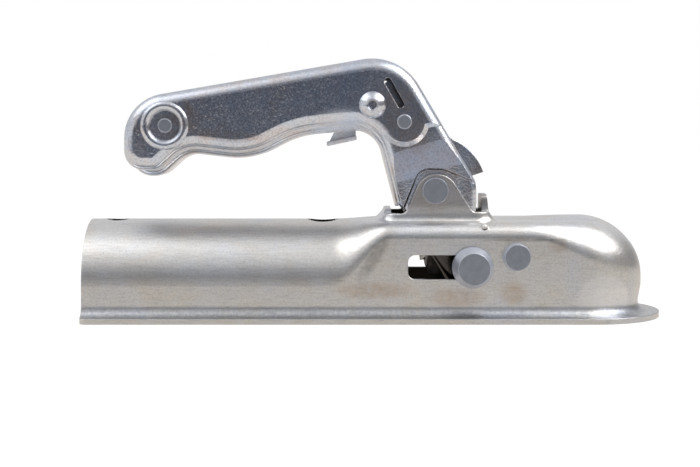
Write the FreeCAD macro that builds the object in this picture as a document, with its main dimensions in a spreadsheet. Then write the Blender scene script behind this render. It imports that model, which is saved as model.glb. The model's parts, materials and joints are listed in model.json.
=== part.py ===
import FreeCAD, Part
import math
import os

import Sketcher
from FreeCAD import Rotation, Vector

# Trailer coupling head for a 50 mm towing ball and a 50 mm round drawbar.
# X points forwards to the ball, Y to the far side, Z up. The origin is the ball's centre.

doc = FreeCAD.newDocument("coupling_head")
sheet = doc.addObject("Spreadsheet::Sheet", "Sizes")

DRIVING_SIZES = [
    # Ball, drawbar and pressed head
    ("ball_radius", 25.0, "radius of the towing ball"),
    ("socket_gap", 0.5, "room between the ball and the socket"),
    ("drawbar_radius", 25.0, "radius of the round drawbar tube"),
    ("drawbar_gap", 0.5, "room between the drawbar and the tunnel"),
    ("head_sheet", 2.5, "thickness of the head's sheet"),
    ("crown_height", 26.1, "top of the head above the ball's centre"),
    ("underside_depth", 17.4, "underside of the flange below the ball's centre"),
    ("tail_length", 221.0, "tail end behind the ball's centre"),
    ("tunnel_end", 112.0, "where the round tunnel starts to widen, behind the ball"),
    ("box_start", 86.0, "where the square box is fully formed, behind the ball"),
    ("nose_start", 25.0, "where the box starts to round into the nose, behind the ball"),
    ("box_shoulder", 7.0, "shoulder radius along the box"),
    ("nose_shoulder", 16.0, "shoulder radius beside the ball"),
    ("tip_shoulder", 25.0, "shoulder radius at the very front"),
    ("crown_flat", 0.4, "width of the flat left along the tunnel's crown"),
    ("waist_depth", 3.0, "where the nose wall starts to lean in, below the ball's centre"),
    ("nose_lean", 2.6, "how far the nose wall leans back at the flange"),
    ("flange_reach", 6.5, "how far the flange stands out beside the walls"),
    ("flange_front", 1.7, "how far the flange's front round is moved forwards"),
    ("flange_corner", 3.0, "corner radius of the flange at the tail"),
    ("root_radius", 4.5, "round between wall and flange, outside"),
    # Opening, collar, ears and tab
    ("opening_rear", 85.6, "rear end of the top opening, behind the ball"),
    ("opening_front", 45.0, "front end of the top opening, behind the ball"),
    ("opening_half", 16.2, "half the width between the ears"),
    ("opening_corner", 2.5, "inner corner radius of the opening"),
    ("rim_rear_rise", 3.4, "height of the raised rim behind the ears, above the head"),
    ("rim_front_rise", 4.1, "height of the raised rim ahead of the ears, above the head"),
    ("rim_upright", 5.3, "height above the head where the raised rim starts to spread"),
    ("rim_sink", 0.5, "depth of the rim's foot in the head"),
    ("rim_end_spread", 6.5, "how far the rim's foot spreads to the front and the rear"),
    ("rim_side_spread", 2.2, "how far the rim's foot spreads to the sides"),
    ("ear_apex_back", 67.25, "meeting point of the ear's flanks behind the ball"),
    ("ear_apex_height", 57.95, "meeting point of the ear's flanks above the ball's centre"),
    ("ear_crest", 9.6, "radius of the ear's top"),
    ("ear_rear_slope", 66.9, "slope of the ear's rear flank in degrees"),
    ("ear_front_slope", 57.6, "slope of the ear's front flank in degrees"),
    ("ear_foot_round", 3.0, "radius at the ear's feet"),
    ("ear_edge", 0.5, "edge radius of the ears"),
    ("lip_rise", 5.3, "height of the rear lip above the head"),
    ("lip_half", 12.5, "half width of the rear lip's top"),
    ("lip_round", 5.0, "corner radius of the rear lip"),
    ("tab_rise", 11.5, "height of the catch tab above the head"),
    ("tab_half", 7.5, "half width of the catch tab"),
    ("tab_round", 2.5, "corner radius of the catch tab"),
    ("tab_lean", 1.5, "how much thicker the catch tab is at its foot"),
    ("bead_back", 45.2, "drawing bead on the shoulder behind the ball"),
    ("bead_radius", 1.5, "radius of the drawing bead"),
    ("dome_run", 116.0, "half length of the long oval that blends the dome into the box"),
    ("dome_start", 44.0, "rear end of that oval behind the ball"),
    # Holes through the head
    ("rear_hole", 5.25, "radius of the rear bolt hole in the crown"),
    ("front_hole", 7.25, "radius of the front bolt hole in the crown"),
    ("rear_hole_back", 209.3, "rear bolt hole behind the ball"),
    ("front_hole_back", 116.2, "front bolt hole behind the ball"),
    # Handle axle
    ("axle_back", 66.3, "handle axle behind the ball"),
    ("axle_height", 39.65, "handle axle above the ball's centre"),
    ("axle_radius", 4.5, "radius of the handle axle"),
    ("axle_head", 5.7, "radius of the axle's riveted heads"),
    ("axle_proud", 2.2, "height of the axle's heads outside the ears"),
    ("running_gap", 0.05, "radial clearance of a running fit"),
    ("side_gap", 0.3, "clearance beside a part that moves"),
    # Slot pin
    ("pin_back", 50.6, "slot pin behind the ball"),
    ("pin_height", 6.7, "slot pin above the ball's centre"),
    ("pin_radius", 4.8, "radius of the slot pin"),
    ("pin_head", 9.0, "radius of the pin's heads at the foot"),
    ("pin_face", 6.9, "radius of the pin's heads at the face"),
    ("pin_proud", 8.6, "height of the pin's heads"),
    ("pin_skirt", 1.6, "height of the straight foot of the pin's heads"),
    ("pin_travel", 22.7, "travel of the slot pin towards the tail"),
    ("slot_gap", 0.5, "room round the pin in the side slots"),
    ("slot_corner", 3.0, "corner radius of the side slots"),
    # Jaw
    ("jaw_pivot_back", 31.35, "jaw pivot behind the ball"),
    ("jaw_pivot_height", 11.3, "jaw pivot above the ball's centre"),
    ("jaw_rivet", 4.5, "radius of the jaw rivet"),
    ("jaw_rivet_head", 6.2, "radius of the jaw rivet's heads"),
    ("jaw_rivet_face", 5.6, "radius of the jaw rivet's faces"),
    ("jaw_rivet_proud", 4.0, "height of the jaw rivet's heads"),
    ("jaw_hub", 6.9, "radius of the jaw's hub"),
    ("jaw_half", 12.0, "half width of the jaw"),
    ("jaw_thickness", 7.4, "thickness of the jaw behind the ball"),
    ("jaw_foot", 14.4, "lower edge of the jaw below the ball's centre"),
    ("jaw_heel", 7.9, "where the jaw's back face turns in, below the ball's centre"),
    ("jaw_front", 15.0, "front of the jaw's blank behind the ball"),
    ("jaw_back_face", 37.0, "flat back face of the jaw, behind the ball"),
    ("jaw_gap", 0.4, "room between the ball and the jaw"),
    # Pressure block
    ("block_gap", 0.35, "room between the pressure block and the jaw"),
    ("block_half", 12.6, "half width of the pressure block"),
    ("block_hub", 9.4, "radius of the pressure block round the pin"),
    ("block_tail", 9.6, "length of the block's tail behind the pin"),
    ("block_shoulder", 4.0, "upper edge of the block's nose ahead of the pin"),
    ("block_nose_foot", 6.0, "foot of the block's nose below the ball's centre"),
    ("sleeve_wall", 2.2, "wall of the spacer sleeves"),
    # Handle
    ("handle_sheet", 2.0, "thickness of the handle's sheet"),
    ("grip_half", 20.0, "half width of the grip"),
    ("limb_half", 18.2, "half width of the limb"),
    ("relief_half", 17.0, "half width of the limb above the ears"),
    ("fork_half", 15.7, "half width of the fork between the ears"),
    ("grip_edge", 5.5, "edge radius of the grip"),
    ("limb_edge", 4.2, "edge radius of the limb"),
    ("fork_edge", 3.2, "edge radius of the fork"),
    ("corner_back", 81.9, "outer corner of the handle behind the ball"),
    ("corner_height", 100.5, "outer corner of the handle above the ball's centre"),
    ("corner_radius", 24.0, "outer corner radius of the handle"),
    ("grip_slope", 9.75, "slope of the grip's top in degrees"),
    ("web_slope", 59.3, "slope of the limb's front web in degrees"),
    ("knee_reach", 18.7, "front of the limb ahead of the axle"),
    ("knee_radius", 11.0, "radius where the front web turns down to the fork"),
    ("fork_shoulder", 5.0, "radius where the fork spreads round the pin"),
    ("fork_front_radius", 9.0, "front lower corner radius of the fork"),
    ("fork_reach", 9.5, "front of the fork ahead of the pin"),
    ("fork_hub_radius", 13.0, "radius of the fork round the pin"),
    ("fork_slot_gap", 0.75, "room beside the pin in the fork's slots"),
    ("fork_slot_end", 0.6, "room past the pin at the ends of the fork's slots"),
    ("end_back", 204.0, "rear end of the grip behind the ball"),
    ("end_radius", 20.0, "upper corner radius of the grip's end"),
    ("pommel_radius", 8.5, "lower corner radius of the grip's end"),
    ("pommel_foot", 48.7, "underside of the pommel above the ball's centre"),
    ("pommel_front_back", 188.9, "front of the pommel's underside behind the ball"),
    ("pommel_front_radius", 6.3, "radius at the front of the pommel's underside"),
    ("hollow_back", 177.3, "finger hollow behind the ball"),
    ("hollow_height", 59.2, "height of the finger hollow"),
    ("hollow_radius", 15.5, "radius of the finger hollow"),
    ("swell_back", 148.2, "swell under the grip behind the ball"),
    ("swell_height", 55.9, "height of the swell under the grip"),
    ("swell_radius", 32.0, "radius of the swell under the grip"),
    ("rest_back", 127.6, "start of the finger rest behind the ball"),
    ("rest_height", 66.6, "height of the finger rest"),
    ("rest_radius", 42.0, "radius at the start of the finger rest"),
    ("crook_back", 91.8, "inner corner of the handle behind the ball"),
    ("crook_height", 70.2, "height of the handle's inner corner"),
    ("crook_radius", 15.5, "inner corner radius of the handle"),
    ("throat_back", 82.3, "throat above the fork, behind the ball"),
    ("throat_height", 33.6, "height of the throat above the fork"),
    ("throat_radius", 7.0, "radius of the throat"),
    ("step_rear_back", 88.9, "rear end of the wide wall's lower edge, behind the ball"),
    ("step_rear_height", 63.4, "height of that rear end"),
    ("step_front_back", 66.5, "front end of the wide wall's lower edge, behind the ball"),
    ("step_front_height", 68.0, "height of that front end"),
    ("relief_rear_back", 83.0, "rear end of the limb's step above the ears, behind the ball"),
    ("relief_rear_height", 43.2, "height of that rear end"),
    ("relief_front_back", 56.0, "front end of the limb's step above the ears, behind the ball"),
    ("relief_front_height", 51.0, "height of that front end"),
    ("grip_spread", 2.0, "run of the slope from the grip's walls to the limb's"),
    ("relief_spread", 13.0, "run of the slope down the limb"),
    ("fork_spread", 1.8, "run of the slope round the ears"),
    ("recess_rear_back", 82.3, "line of the fork's recess behind the ear, behind the ball"),
    ("recess_floor", 30.4, "height below which the fork stays narrow"),
    ("recess_corner_rear", 72.9, "rear upper corner of the recess behind the ball"),
    ("recess_corner_front", 62.8, "front upper corner of the recess behind the ball"),
    ("recess_top", 48.5, "top of the recess above the ball's centre"),
    ("recess_front_back", 40.0, "front end of the recess's upper line behind the ball"),
    ("recess_front_height", 39.4, "height of that front end"),
    ("recess_round", 6.0, "corner radius of the recess"),
    ("web_foot_height", 33.5, "lower end of the handle's closed webs above the ball's centre"),
    ("liner_sheet", 1.6, "thickness of the inner shell's sheet"),
    ("liner_proud", 2.9, "how far the inner shell stands out of the handle's open edge"),
    ("liner_proud_limb", 1.6, "how far the inner shell stands out along the limb"),
    ("liner_roll", 6.0, "radius of the inner shell's long edges"),
    ("liner_round", 9.5, "radius of the inner shell at the grip's end"),
    ("liner_set_in", 2.2, "how far inside the grip's end wall the inner shell lies"),
    ("liner_start", 60.7, "upper end of the inner shell at the grip's end above the ball's centre"),
    ("liner_foot", 32.7, "lower end of the inner shell above the ball's centre"),
    ("liner_depth", 5.0, "height of the inner shell's walls inside the handle"),
    ("liner_window_rear", 118.0, "rear end of the finger piece's window, behind the ball"),
    ("liner_window_front", 98.0, "front end of the finger piece's window, behind the ball"),
    ("liner_window_half", 8.0, "half width of the finger piece's window"),
    # Handle rivets
    ("boss_back", 185.4, "end rivet behind the ball"),
    ("boss_height", 68.35, "end rivet above the ball's centre"),
    ("boss_floor", 6.7, "radius of the dish's flat floor"),
    ("boss_depth", 1.6, "depth of the dish"),
    ("boss_bead", 8.75, "radius of the bead's crest round the dish"),
    ("boss_bead_round", 2.2, "radius of the bead's section"),
    ("boss_bead_sunk", 1.3, "depth of the bead's centre below the wall"),
    ("end_rivet", 3.15, "radius of the end rivet"),
    ("end_rivet_proud", 0.4, "height of the end rivet's heads"),
    ("catch_back", 94.0, "catch pivot behind the ball"),
    ("catch_height", 77.4, "catch pivot above the ball's centre"),
    ("catch_rivet", 4.0, "radius of the catch rivet"),
    ("catch_dome", 6.0, "radius of the catch rivet's domed heads"),
    ("catch_dome_proud", 3.2, "height of the domed heads"),
    ("catch_dimple", 2.8, "radius of the dimple in the domed heads"),
    ("catch_dimple_depth", 1.3, "depth of the dimple"),
    ("stop_back", 79.95, "stop rivet behind the ball"),
    ("stop_height", 70.0, "stop rivet above the ball's centre"),
    ("stop_rivet", 3.25, "radius of the stop rivet"),
    ("stop_proud", 0.25, "height of the stop rivet's flush heads"),
    ("pin_chamfer", 0.3, "chamfer at the ends of the plain rivets"),
    ("lobe_radius", 8.9, "radius of the wide wall's lobe round the stop rivet"),
    ("window_length", 14.8, "length of the window in the handle's walls"),
    ("window_width", 3.2, "width of the window"),
    ("window_back", 84.5, "centre of the window behind the ball"),
    ("window_height", 82.7, "centre of the window above the ball's centre"),
    # Catch lever
    ("catch_plate", 3.0, "thickness of the catch plate"),
    ("catch_disc", 7.6, "radius of the catch plate round its pivot"),
    ("catch_hub", 5.5, "radius of the catch's hub tube"),
    ("catch_hub_half", 9.0, "half length of the catch's hub tube"),
    ("catch_swing", 9.0, "swing of the catch in degrees"),
    ("stop_slot_gap", 0.35, "room round the stop rivet in the catch plate's slot"),
    ("stop_slot_wall", 3.2, "metal round the catch plate's slot"),
    ("fin_radius", 24.1, "radius of the fin's edge round the handle axle"),
    ("fin_depth", 6.4, "depth of the fin's end face"),
    ("fin_top", 68.0, "upper end of the fin round the axle, degrees above forward"),
    ("fin_foot", 18.6, "lower end of the fin round the axle, degrees above forward"),
    ("fin_slot_gap", 0.6, "room beside the fin in the web's slot"),
    ("arm_crest_back", 86.0, "crest of the catch's arm behind the ball"),
    ("arm_crest_height", 89.6, "height of that crest"),
    ("arm_top_back", 78.5, "upper edge of the catch's arm behind the ball"),
    ("arm_top_height", 84.5, "height of that upper edge"),
    ("arm_knee_back", 69.5, "bend of the arm's upper edge behind the ball"),
    ("arm_knee_height", 72.0, "height of that bend"),
    ("arm_foot_back", 72.0, "lower edge of the catch's arm behind the ball"),
    ("arm_foot_height", 59.6, "height of that lower edge"),
    ("finger_half", 7.0, "half width of the finger piece"),
    ("finger_rear_back", 114.0, "lower rear corner of the finger piece behind the ball"),
    ("finger_rear_height", 59.4, "height of that corner"),
    ("finger_front_back", 101.3, "front of the finger piece behind the ball"),
    ("finger_front_height", 62.3, "height of its lower front corner"),
    ("finger_top_back", 110.3, "upper rear corner of the finger piece behind the ball"),
    ("finger_top_height", 67.0, "upper edge of the finger piece"),
    ("finger_round", 1.2, "edge radius of the finger piece"),
    ("finger_lip", 1.7, "height of the lip under the finger piece"),
    ("finger_lip_proud", 0.7, "how far that lip stands out"),
    ("finger_scoop", 5.0, "radius of the hollow along the finger piece"),
    ("finger_scoop_depth", 0.8, "depth of that hollow"),
    ("finger_sheet", 1.8, "thickness of the finger piece"),
    # Springs and sleeve
    ("axle_sleeve", 6.6, "outer radius of the sleeve on the handle axle"),
    ("spring_wire", 1.25, "radius of the closing spring's wire"),
    ("spring_gap", 0.5, "room between spring and sleeve"),
    ("spring_pitch", 2.8, "pitch of the closing spring"),
    ("spring_side", 10.5, "near end of the closing spring's coil beside the middle plane"),
    ("spring_start", 186.0, "where the closing spring's coil starts, degrees above forward"),
    ("spring_swept", 972.7, "winding of the closing spring in degrees"),
    ("spring_fork_leg", 33.0, "length of the closing spring's leg on the fork"),
    ("spring_plate_leg", 29.5, "length of the closing spring's leg under the top plate"),
    ("spring_hook", 5.5, "length of the bent tip of the fork leg"),
    ("catch_wire", 0.6, "radius of the catch spring's wire"),
    ("catch_pitch", 1.5, "pitch of the catch spring"),
    ("catch_turns", 2.0, "whole turns of the catch spring"),
    ("catch_leg_past", 2.5, "how far the catch spring's leg reaches past the stop rivet"),
    ("catch_arm_leg", 8.0, "length of the catch spring's leg on the catch"),
    ("catch_arm_angle", 126.0, "where that leg leaves the coil, degrees above forward"),
]

for row, (alias, value, meaning) in enumerate(DRIVING_SIZES, start=1):
    sheet.set(f"A{row}", meaning)
    sheet.set(f"B{row}", str(value))
    sheet.setAlias(f"B{row}", alias)
doc.recompute()


def size(name):
    """The value of one driving size."""
    return float(sheet.get(name))


def total(*names):
    """A sum of sizes as a number and as an expression; a leading minus takes one away."""
    number = 0.0
    words = []
    for name in names:
        sign = -1.0 if name.startswith("-") else 1.0
        plain = name.lstrip("-")
        number += sign * size(plain)
        words.append(("- " if sign < 0 else "+ ") + "Sizes." + plain)
    return number, " ".join(words).lstrip("+ ")


ZERO = (0.0, "0")


def minus(value):
    """The same sum with the opposite sign."""
    return -value[0], f"-({value[1]})"


# Places worked out from the sizes
crown = size("crown_height")
underside = -size("underside_depth")
head_half = size("drawbar_radius") + size("drawbar_gap") + size("head_sheet")
socket_radius = size("ball_radius") + size("socket_gap")
axle_x, axle_z = -size("axle_back"), size("axle_height")
pin_x, pin_z = -size("pin_back"), size("pin_height")
jaw_x, jaw_z = -size("jaw_pivot_back"), size("jaw_pivot_height")
catch_x, catch_z = -size("catch_back"), size("catch_height")
stop_x, stop_z = -size("stop_back"), size("stop_height")
boss_x, boss_z = -size("boss_back"), size("boss_height")
ear_outer = size("opening_half") + size("head_sheet")
FAR = 400.0


# General helpers

def line(start, end):
    return Part.LineSegment(start, end).toShape()


def arc(start, middle, end):
    return Part.Arc(start, middle, end).toShape()


def side_point(x, z, y=0.0):
    """A point given in the side view."""
    return Vector(x, y, z)


def polar(x, z, radius, degrees, y=0.0):
    """A point round a side-view centre; degrees count up from forwards."""
    angle = math.radians(degrees)
    return Vector(x + radius * math.cos(angle), y, z + radius * math.sin(angle))


def across(wire, half):
    """A side-view outline, drawn at y = 0, made a solid as wide as twice half."""
    face = Part.Face(wire)
    face.translate(Vector(0, -half, 0))
    return face.extrude(Vector(0, 2 * half, 0))


def pin_solid(x, z, radius, half):
    """A round bar across the part."""
    return Part.makeCylinder(radius, 2 * half, Vector(x, -half, z), Vector(0, 1, 0))


def polygon(points):
    """A closed side-view outline with straight sides."""
    corners = [side_point(x, z) for x, z in points]
    return Part.makePolygon(corners + corners[:1])


def mirrored(shape):
    """The same shape on the other side of the middle plane."""
    return shape.mirror(Vector(0, 0, 0), Vector(0, 1, 0))


def feature(label, shape):
    """A sub-part whose shape is set by code."""
    made = doc.addObject("Part::Feature", label)
    made.Label = label
    made.Shape = shape
    return made


def new_body(label):
    body = doc.addObject("PartDesign::Body", label)
    body.Label = label
    return body


def new_sketch(body, name, role):
    """A sketch on one of the body's own origin planes."""
    plane = next(part for part in body.Origin.OriginFeatures if part.Role == role)
    sketch = body.newObject("Sketcher::SketchObject", name)
    sketch.AttachmentSupport = [(plane, "")]
    sketch.MapMode = "FlatFace"
    return sketch


def bind(sketch, kind, vertex, value):
    """Hold one coordinate of a line's start at a distance from the origin."""
    number, words = value
    if words == "0":
        axis = -2 if kind == "DistanceX" else -1
        sketch.addConstraint(Sketcher.Constraint("PointOnObject", vertex, 1, axis))
        return
    index = sketch.addConstraint(Sketcher.Constraint(kind, -1, 1, vertex, 1, number))
    sketch.setExpression(f"Constraints[{index}]", words)


def closed_profile(sketch, corners):
    """A closed outline of straight lines whose corners are bound to sizes."""
    count = len(corners)
    for here, there in zip(corners, corners[1:] + corners[:1]):
        start = Vector(here[0][0], here[1][0], 0)
        end = Vector(there[0][0], there[1][0], 0)
        sketch.addGeometry(Part.LineSegment(start, end), False)
    for index in range(count):
        link = Sketcher.Constraint("Coincident", index, 2, (index + 1) % count, 1)
        sketch.addConstraint(link)
    for index, (across_value, up_value) in enumerate(corners):
        bind(sketch, "DistanceX", index, across_value)
        bind(sketch, "DistanceY", index, up_value)


def turned_part(label, corners, x_words, z_words, cutters=()):
    """A part turned about the Y axis and moved to its centre in the side view."""
    body = new_body(label)
    sketch = new_sketch(body, label + "_profile", "XY_Plane")
    closed_profile(sketch, corners)
    turned = body.newObject("PartDesign::Revolution", label + "_turned")
    turned.Profile = sketch
    turned.ReferenceAxis = (sketch, ["V_Axis"])
    turned.Angle = 360
    for number, cut_corners in enumerate(cutters):
        cut_sketch = new_sketch(body, f"{label}_cut_profile_{number}", "XY_Plane")
        closed_profile(cut_sketch, cut_corners)
        groove = body.newObject("PartDesign::Groove", f"{label}_cut_{number}")
        groove.Profile = cut_sketch
        groove.ReferenceAxis = (cut_sketch, ["V_Axis"])
        groove.Angle = 360
    body.setExpression("Placement.Base.x", x_words)
    body.setExpression("Placement.Base.z", z_words)
    return body


# Pressed head

def head_outline(half, height, tail, front):
    """Plan of the head: straight sides split where the shoulder changes, and a round nose."""
    stations = [tail, -size("tunnel_end"), -size("box_start"), -size("nose_start"), front]
    diagonal = half * math.sqrt(0.5)
    edges = []
    for start, end in zip(stations, stations[1:]):
        edges.append(line(Vector(start, -half, height), Vector(end, -half, height)))
    near, tip, far = Vector(front, -half, height), Vector(front + half, 0, height), Vector(front, half, height)
    edges.append(arc(near, Vector(front + diagonal, -diagonal, height), tip))
    edges.append(arc(tip, Vector(front + diagonal, diagonal, height), far))
    for start, end in zip(stations[::-1], stations[::-1][1:]):
        edges.append(line(Vector(start, half, height), Vector(end, half, height)))
    edges.append(line(Vector(tail, half, height), Vector(tail, -half, height)))
    return Part.Wire(edges)


def shoulder_radius(x, inset):
    """Shoulder radius at a station along the head."""
    if x <= -size("tunnel_end") + 0.1:
        return head_half - inset - size("crown_flat") / 2
    if x <= -size("nose_start") + 0.1:
        return size("box_shoulder") - inset
    if x < 0.5:
        return size("nose_shoulder") - inset
    return size("tip_shoulder") - inset


def long_oval(half, run):
    """Upper half of a long oval that carries the dome's height back into the box."""
    start = -size("dome_start")
    curve = Part.Ellipse(Vector(0, 0, 0), run, half)
    first = math.pi - math.acos(size("dome_start") / run)
    rim = curve.toShape(math.pi / 2, first)
    low = rim.valueAt(rim.LastParameter)
    profile = Part.Wire(Part.__sortEdges__([
        rim,
        line(low, Vector(start, 0, 0)),
        line(Vector(start, 0, 0), Vector(0, 0, 0)),
        line(Vector(0, 0, 0), Vector(0, half, 0)),
    ]))
    return Part.Face(profile).revolve(Vector(0, 0, 0), Vector(1, 0, 0), 180)


def head_form(name, inset, tail):
    """The whole outer form of the head, or the inner one when inset by the sheet."""
    half = head_half - inset
    waist = -size("waist_depth")
    top = crown - inset
    upper = Part.Face(head_outline(half, waist, tail, 0)).extrude(Vector(0, 0, top - waist))
    blank = feature(name + "_blank", upper)
    rounds = []
    for number, edge in enumerate(upper.Edges, start=1):
        ends = [vertex.Point for vertex in edge.Vertexes]
        on_top = all(abs(end.z - top) < 1e-6 for end in ends)
        at_tail = all(abs(end.x - tail) < 1e-6 for end in ends)
        if on_top and not at_tail:
            first = edge.valueAt(edge.FirstParameter)
            last = edge.valueAt(edge.LastParameter)
            rounds.append((number, shoulder_radius(first.x, inset), shoulder_radius(last.x, inset)))
    rounded = doc.addObject("Part::Fillet", name + "_rounded")
    rounded.Base = blank
    rounded.Edges = rounds
    doc.recompute()
    leaning = Part.makeLoft(
        [head_outline(half, waist, tail, 0), head_outline(half, underside, tail, -size("nose_lean"))],
        True, True)
    dome = Part.makeSphere(half, Vector(0, 0, 0), Vector(0, 0, 1), 0, 90, 360)
    return rounded.Shape.fuse([leaning, dome, long_oval(half, size("dome_run") - inset)])


def flange_plate(low, high, grow, tail):
    """The flange: straight sides, round front and round corners at the tail."""
    half = head_half + size("flange_reach") + grow
    front = size("flange_front")
    wire = Part.Wire([
        line(Vector(tail, -half, low), Vector(front, -half, low)),
        arc(Vector(front, -half, low), Vector(front + half, 0, low), Vector(front, half, low)),
        line(Vector(front, half, low), Vector(tail, half, low)),
        line(Vector(tail, half, low), Vector(tail, -half, low)),
    ])
    plate = Part.Face(wire).extrude(Vector(0, 0, high - low))
    corners = [edge for edge in plate.Edges
               if abs(edge.Vertexes[0].Point.z - edge.Vertexes[-1].Point.z) > 0.1
               and edge.Vertexes[0].Point.x < tail + 1]
    return plate.makeFillet(size("flange_corner"), corners)


def edges_at_height(shape, height, keep):
    """Edges that lie flat at a height and whose middle passes the test."""
    found = []
    for edge in shape.Edges:
        middle = edge.valueAt((edge.FirstParameter + edge.LastParameter) / 2)
        points = [vertex.Point for vertex in edge.Vertexes] + [middle]
        if all(abs(point.z - height) < 1e-4 for point in points) and keep(middle, points):
            found.append(edge)
    return found


def rounded_block(rear, front, half, radius, low, high):
    """An upright block with rounded corners in plan."""
    block = Part.makeBox(front - rear, 2 * half, high - low, Vector(rear, -half, low))
    upright = [edge for edge in block.Edges
               if abs(edge.Vertexes[0].Point.z - edge.Vertexes[1].Point.z) > 0.1]
    return block.makeFillet(radius, upright)


def rounded_rectangle(rear, front, half, radius, height):
    """Edges of a level rectangle with rounded corners."""
    diagonal = radius * (1 - math.sqrt(0.5))
    edges = []
    turns = [(front, -half, -1, 1), (front, half, -1, -1), (rear, half, 1, -1), (rear, -half, 1, 1)]
    starts, ends = [], []
    for number, (x, y, to_x, to_y) in enumerate(turns):
        beside = Vector(x + to_x * radius, y, height)
        along = Vector(x, y + to_y * radius, height)
        middle = Vector(x + to_x * diagonal, y + to_y * diagonal, height)
        start, end = (beside, along) if number % 2 == 0 else (along, beside)
        starts.append(start)
        ends.append(end)
        edges.append(arc(start, middle, end))
        if number:
            edges.insert(-1, line(ends[number - 1], start))
    edges.append(line(ends[-1], starts[0]))
    return Part.Wire(edges)


def spreading_rim(rear, front, half, radius):
    """Raised rim as a tall block whose foot spreads in a hollow curve over the head."""
    sections = []
    for share in (1.0, 0.75, 0.5, 0.25, 0.0):
        along = size("rim_end_spread") * share ** 1.3
        aside = size("rim_side_spread") * share ** 3
        rise = size("rim_upright") + size("rim_sink")
        height = crown - size("rim_sink") + rise * (1 - share) ** 1.6
        sections.append(rounded_rectangle(rear - along, front + along, half + aside, radius + along, height))
    foot = Part.makeLoft(sections, True, False)
    return foot.fuse(rounded_block(rear, front, half, radius, crown + size("rim_upright"), 2 * axle_z))


def ear_outline():
    """Side view of the rim's upper edge: low behind and ahead, with the ear between."""
    apex_x, apex_z = -size("ear_apex_back"), size("ear_apex_height")
    rear_top = crown + size("rim_rear_rise")
    front_top = crown + size("rim_front_rise")
    rear_foot = apex_x - (apex_z - rear_top) / math.tan(math.radians(size("ear_rear_slope")))
    front_foot = apex_x + (apex_z - front_top) / math.tan(math.radians(size("ear_front_slope")))
    low = crown - size("box_shoulder")
    return Part.Wire(rounded_path([
        (-size("tunnel_end"), low, 0.0),
        (0.0, low, 0.0),
        (0.0, front_top, 0.0),
        (front_foot, front_top, size("ear_foot_round")),
        (apex_x, apex_z, size("ear_crest")),
        (rear_foot, rear_top, size("ear_foot_round")),
        (-size("tunnel_end"), rear_top, 0.0),
    ]))


def arched(half, top, foot_half, foot, radius, rear, front):
    """A block along X with sloping sides and rounded upper corners."""
    outline = Part.Wire(rounded_path([
        (-foot_half, foot, 0.0),
        (foot_half, foot, 0.0),
        (half, top, radius),
        (-half, top, radius),
    ]))
    outline.rotate(Vector(0, 0, 0), Vector(0, 0, 1), 90)
    outline.translate(Vector(rear, 0, 0))
    return Part.Face(outline).extrude(Vector(front - rear, 0, 0))


def collar():
    """Raised rim of the opening with the two ears, the rear lip and the catch tab."""
    sheet_wall = size("head_sheet")
    rear = -size("opening_rear") - sheet_wall
    front = -size("opening_front") + sheet_wall
    low = crown - size("rim_sink")
    rim = spreading_rim(rear, front, ear_outer, size("opening_corner") + sheet_wall)
    ears = rim.common(across(ear_outline(), FAR))
    lip = arched(size("lip_half"), crown + size("lip_rise"), ear_outer, low, size("lip_round"),
                 -size("tunnel_end"), -size("opening_rear") + size("lip_round"))
    tab_top = crown + size("tab_rise")
    tab_half = size("tab_half")
    tab = arched(tab_half, tab_top, tab_half + size("tab_lean"), low, size("tab_round"), front - sheet_wall, 0.0)
    lean = across(polygon([
        (front - sheet_wall, low),
        (front + size("tab_lean"), low),
        (front, tab_top),
        (front - sheet_wall, tab_top),
    ]), tab_half)
    lean = lean.common(tab)
    return ears.fuse([rim.common(lip), rim.common(tab), lean])


def drawing_beads():
    """Small beads left by the press on both shoulders ahead of the rim."""
    reach = size("box_shoulder") * math.sqrt(0.5)
    level = crown - size("box_shoulder") + reach
    side = head_half - size("box_shoulder") + reach
    far = Part.makeSphere(size("bead_radius"), Vector(-size("bead_back"), side, level))
    return [far, mirrored(far)]


def side_slot():
    """Slot in both walls for the pin's travel."""
    room = size("pin_radius") + size("slot_gap")
    rear = pin_x - size("pin_travel") - room
    front = pin_x + room
    block = Part.makeBox(front - rear, 2 * head_half + 2, 2 * room, Vector(rear, -head_half - 1, pin_z - room))
    corners = [edge for edge in block.Edges
               if abs(edge.Vertexes[0].Point.y - edge.Vertexes[1].Point.y) > 0.1]
    return block.makeFillet(size("slot_corner"), corners)


def on_ear_edge(edge):
    """True for the ears' outer edges above the spread of the rim."""
    middle = edge.valueAt((edge.FirstParameter + edge.LastParameter) / 2)
    points = [vertex.Point for vertex in edge.Vertexes] + [middle]
    beside = all(abs(abs(point.y) - ear_outer) < 1e-4 for point in points)
    above = all(point.z > crown + size("rim_upright") + 0.01 for point in points[-1:])
    on_hole = abs(math.hypot(middle.x - axle_x, middle.z - axle_z) - size("axle_radius")) < 0.01
    level = max(point.z for point in points) - min(point.z for point in points) < 1e-4
    return beside and above and not on_hole and not level


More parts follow.
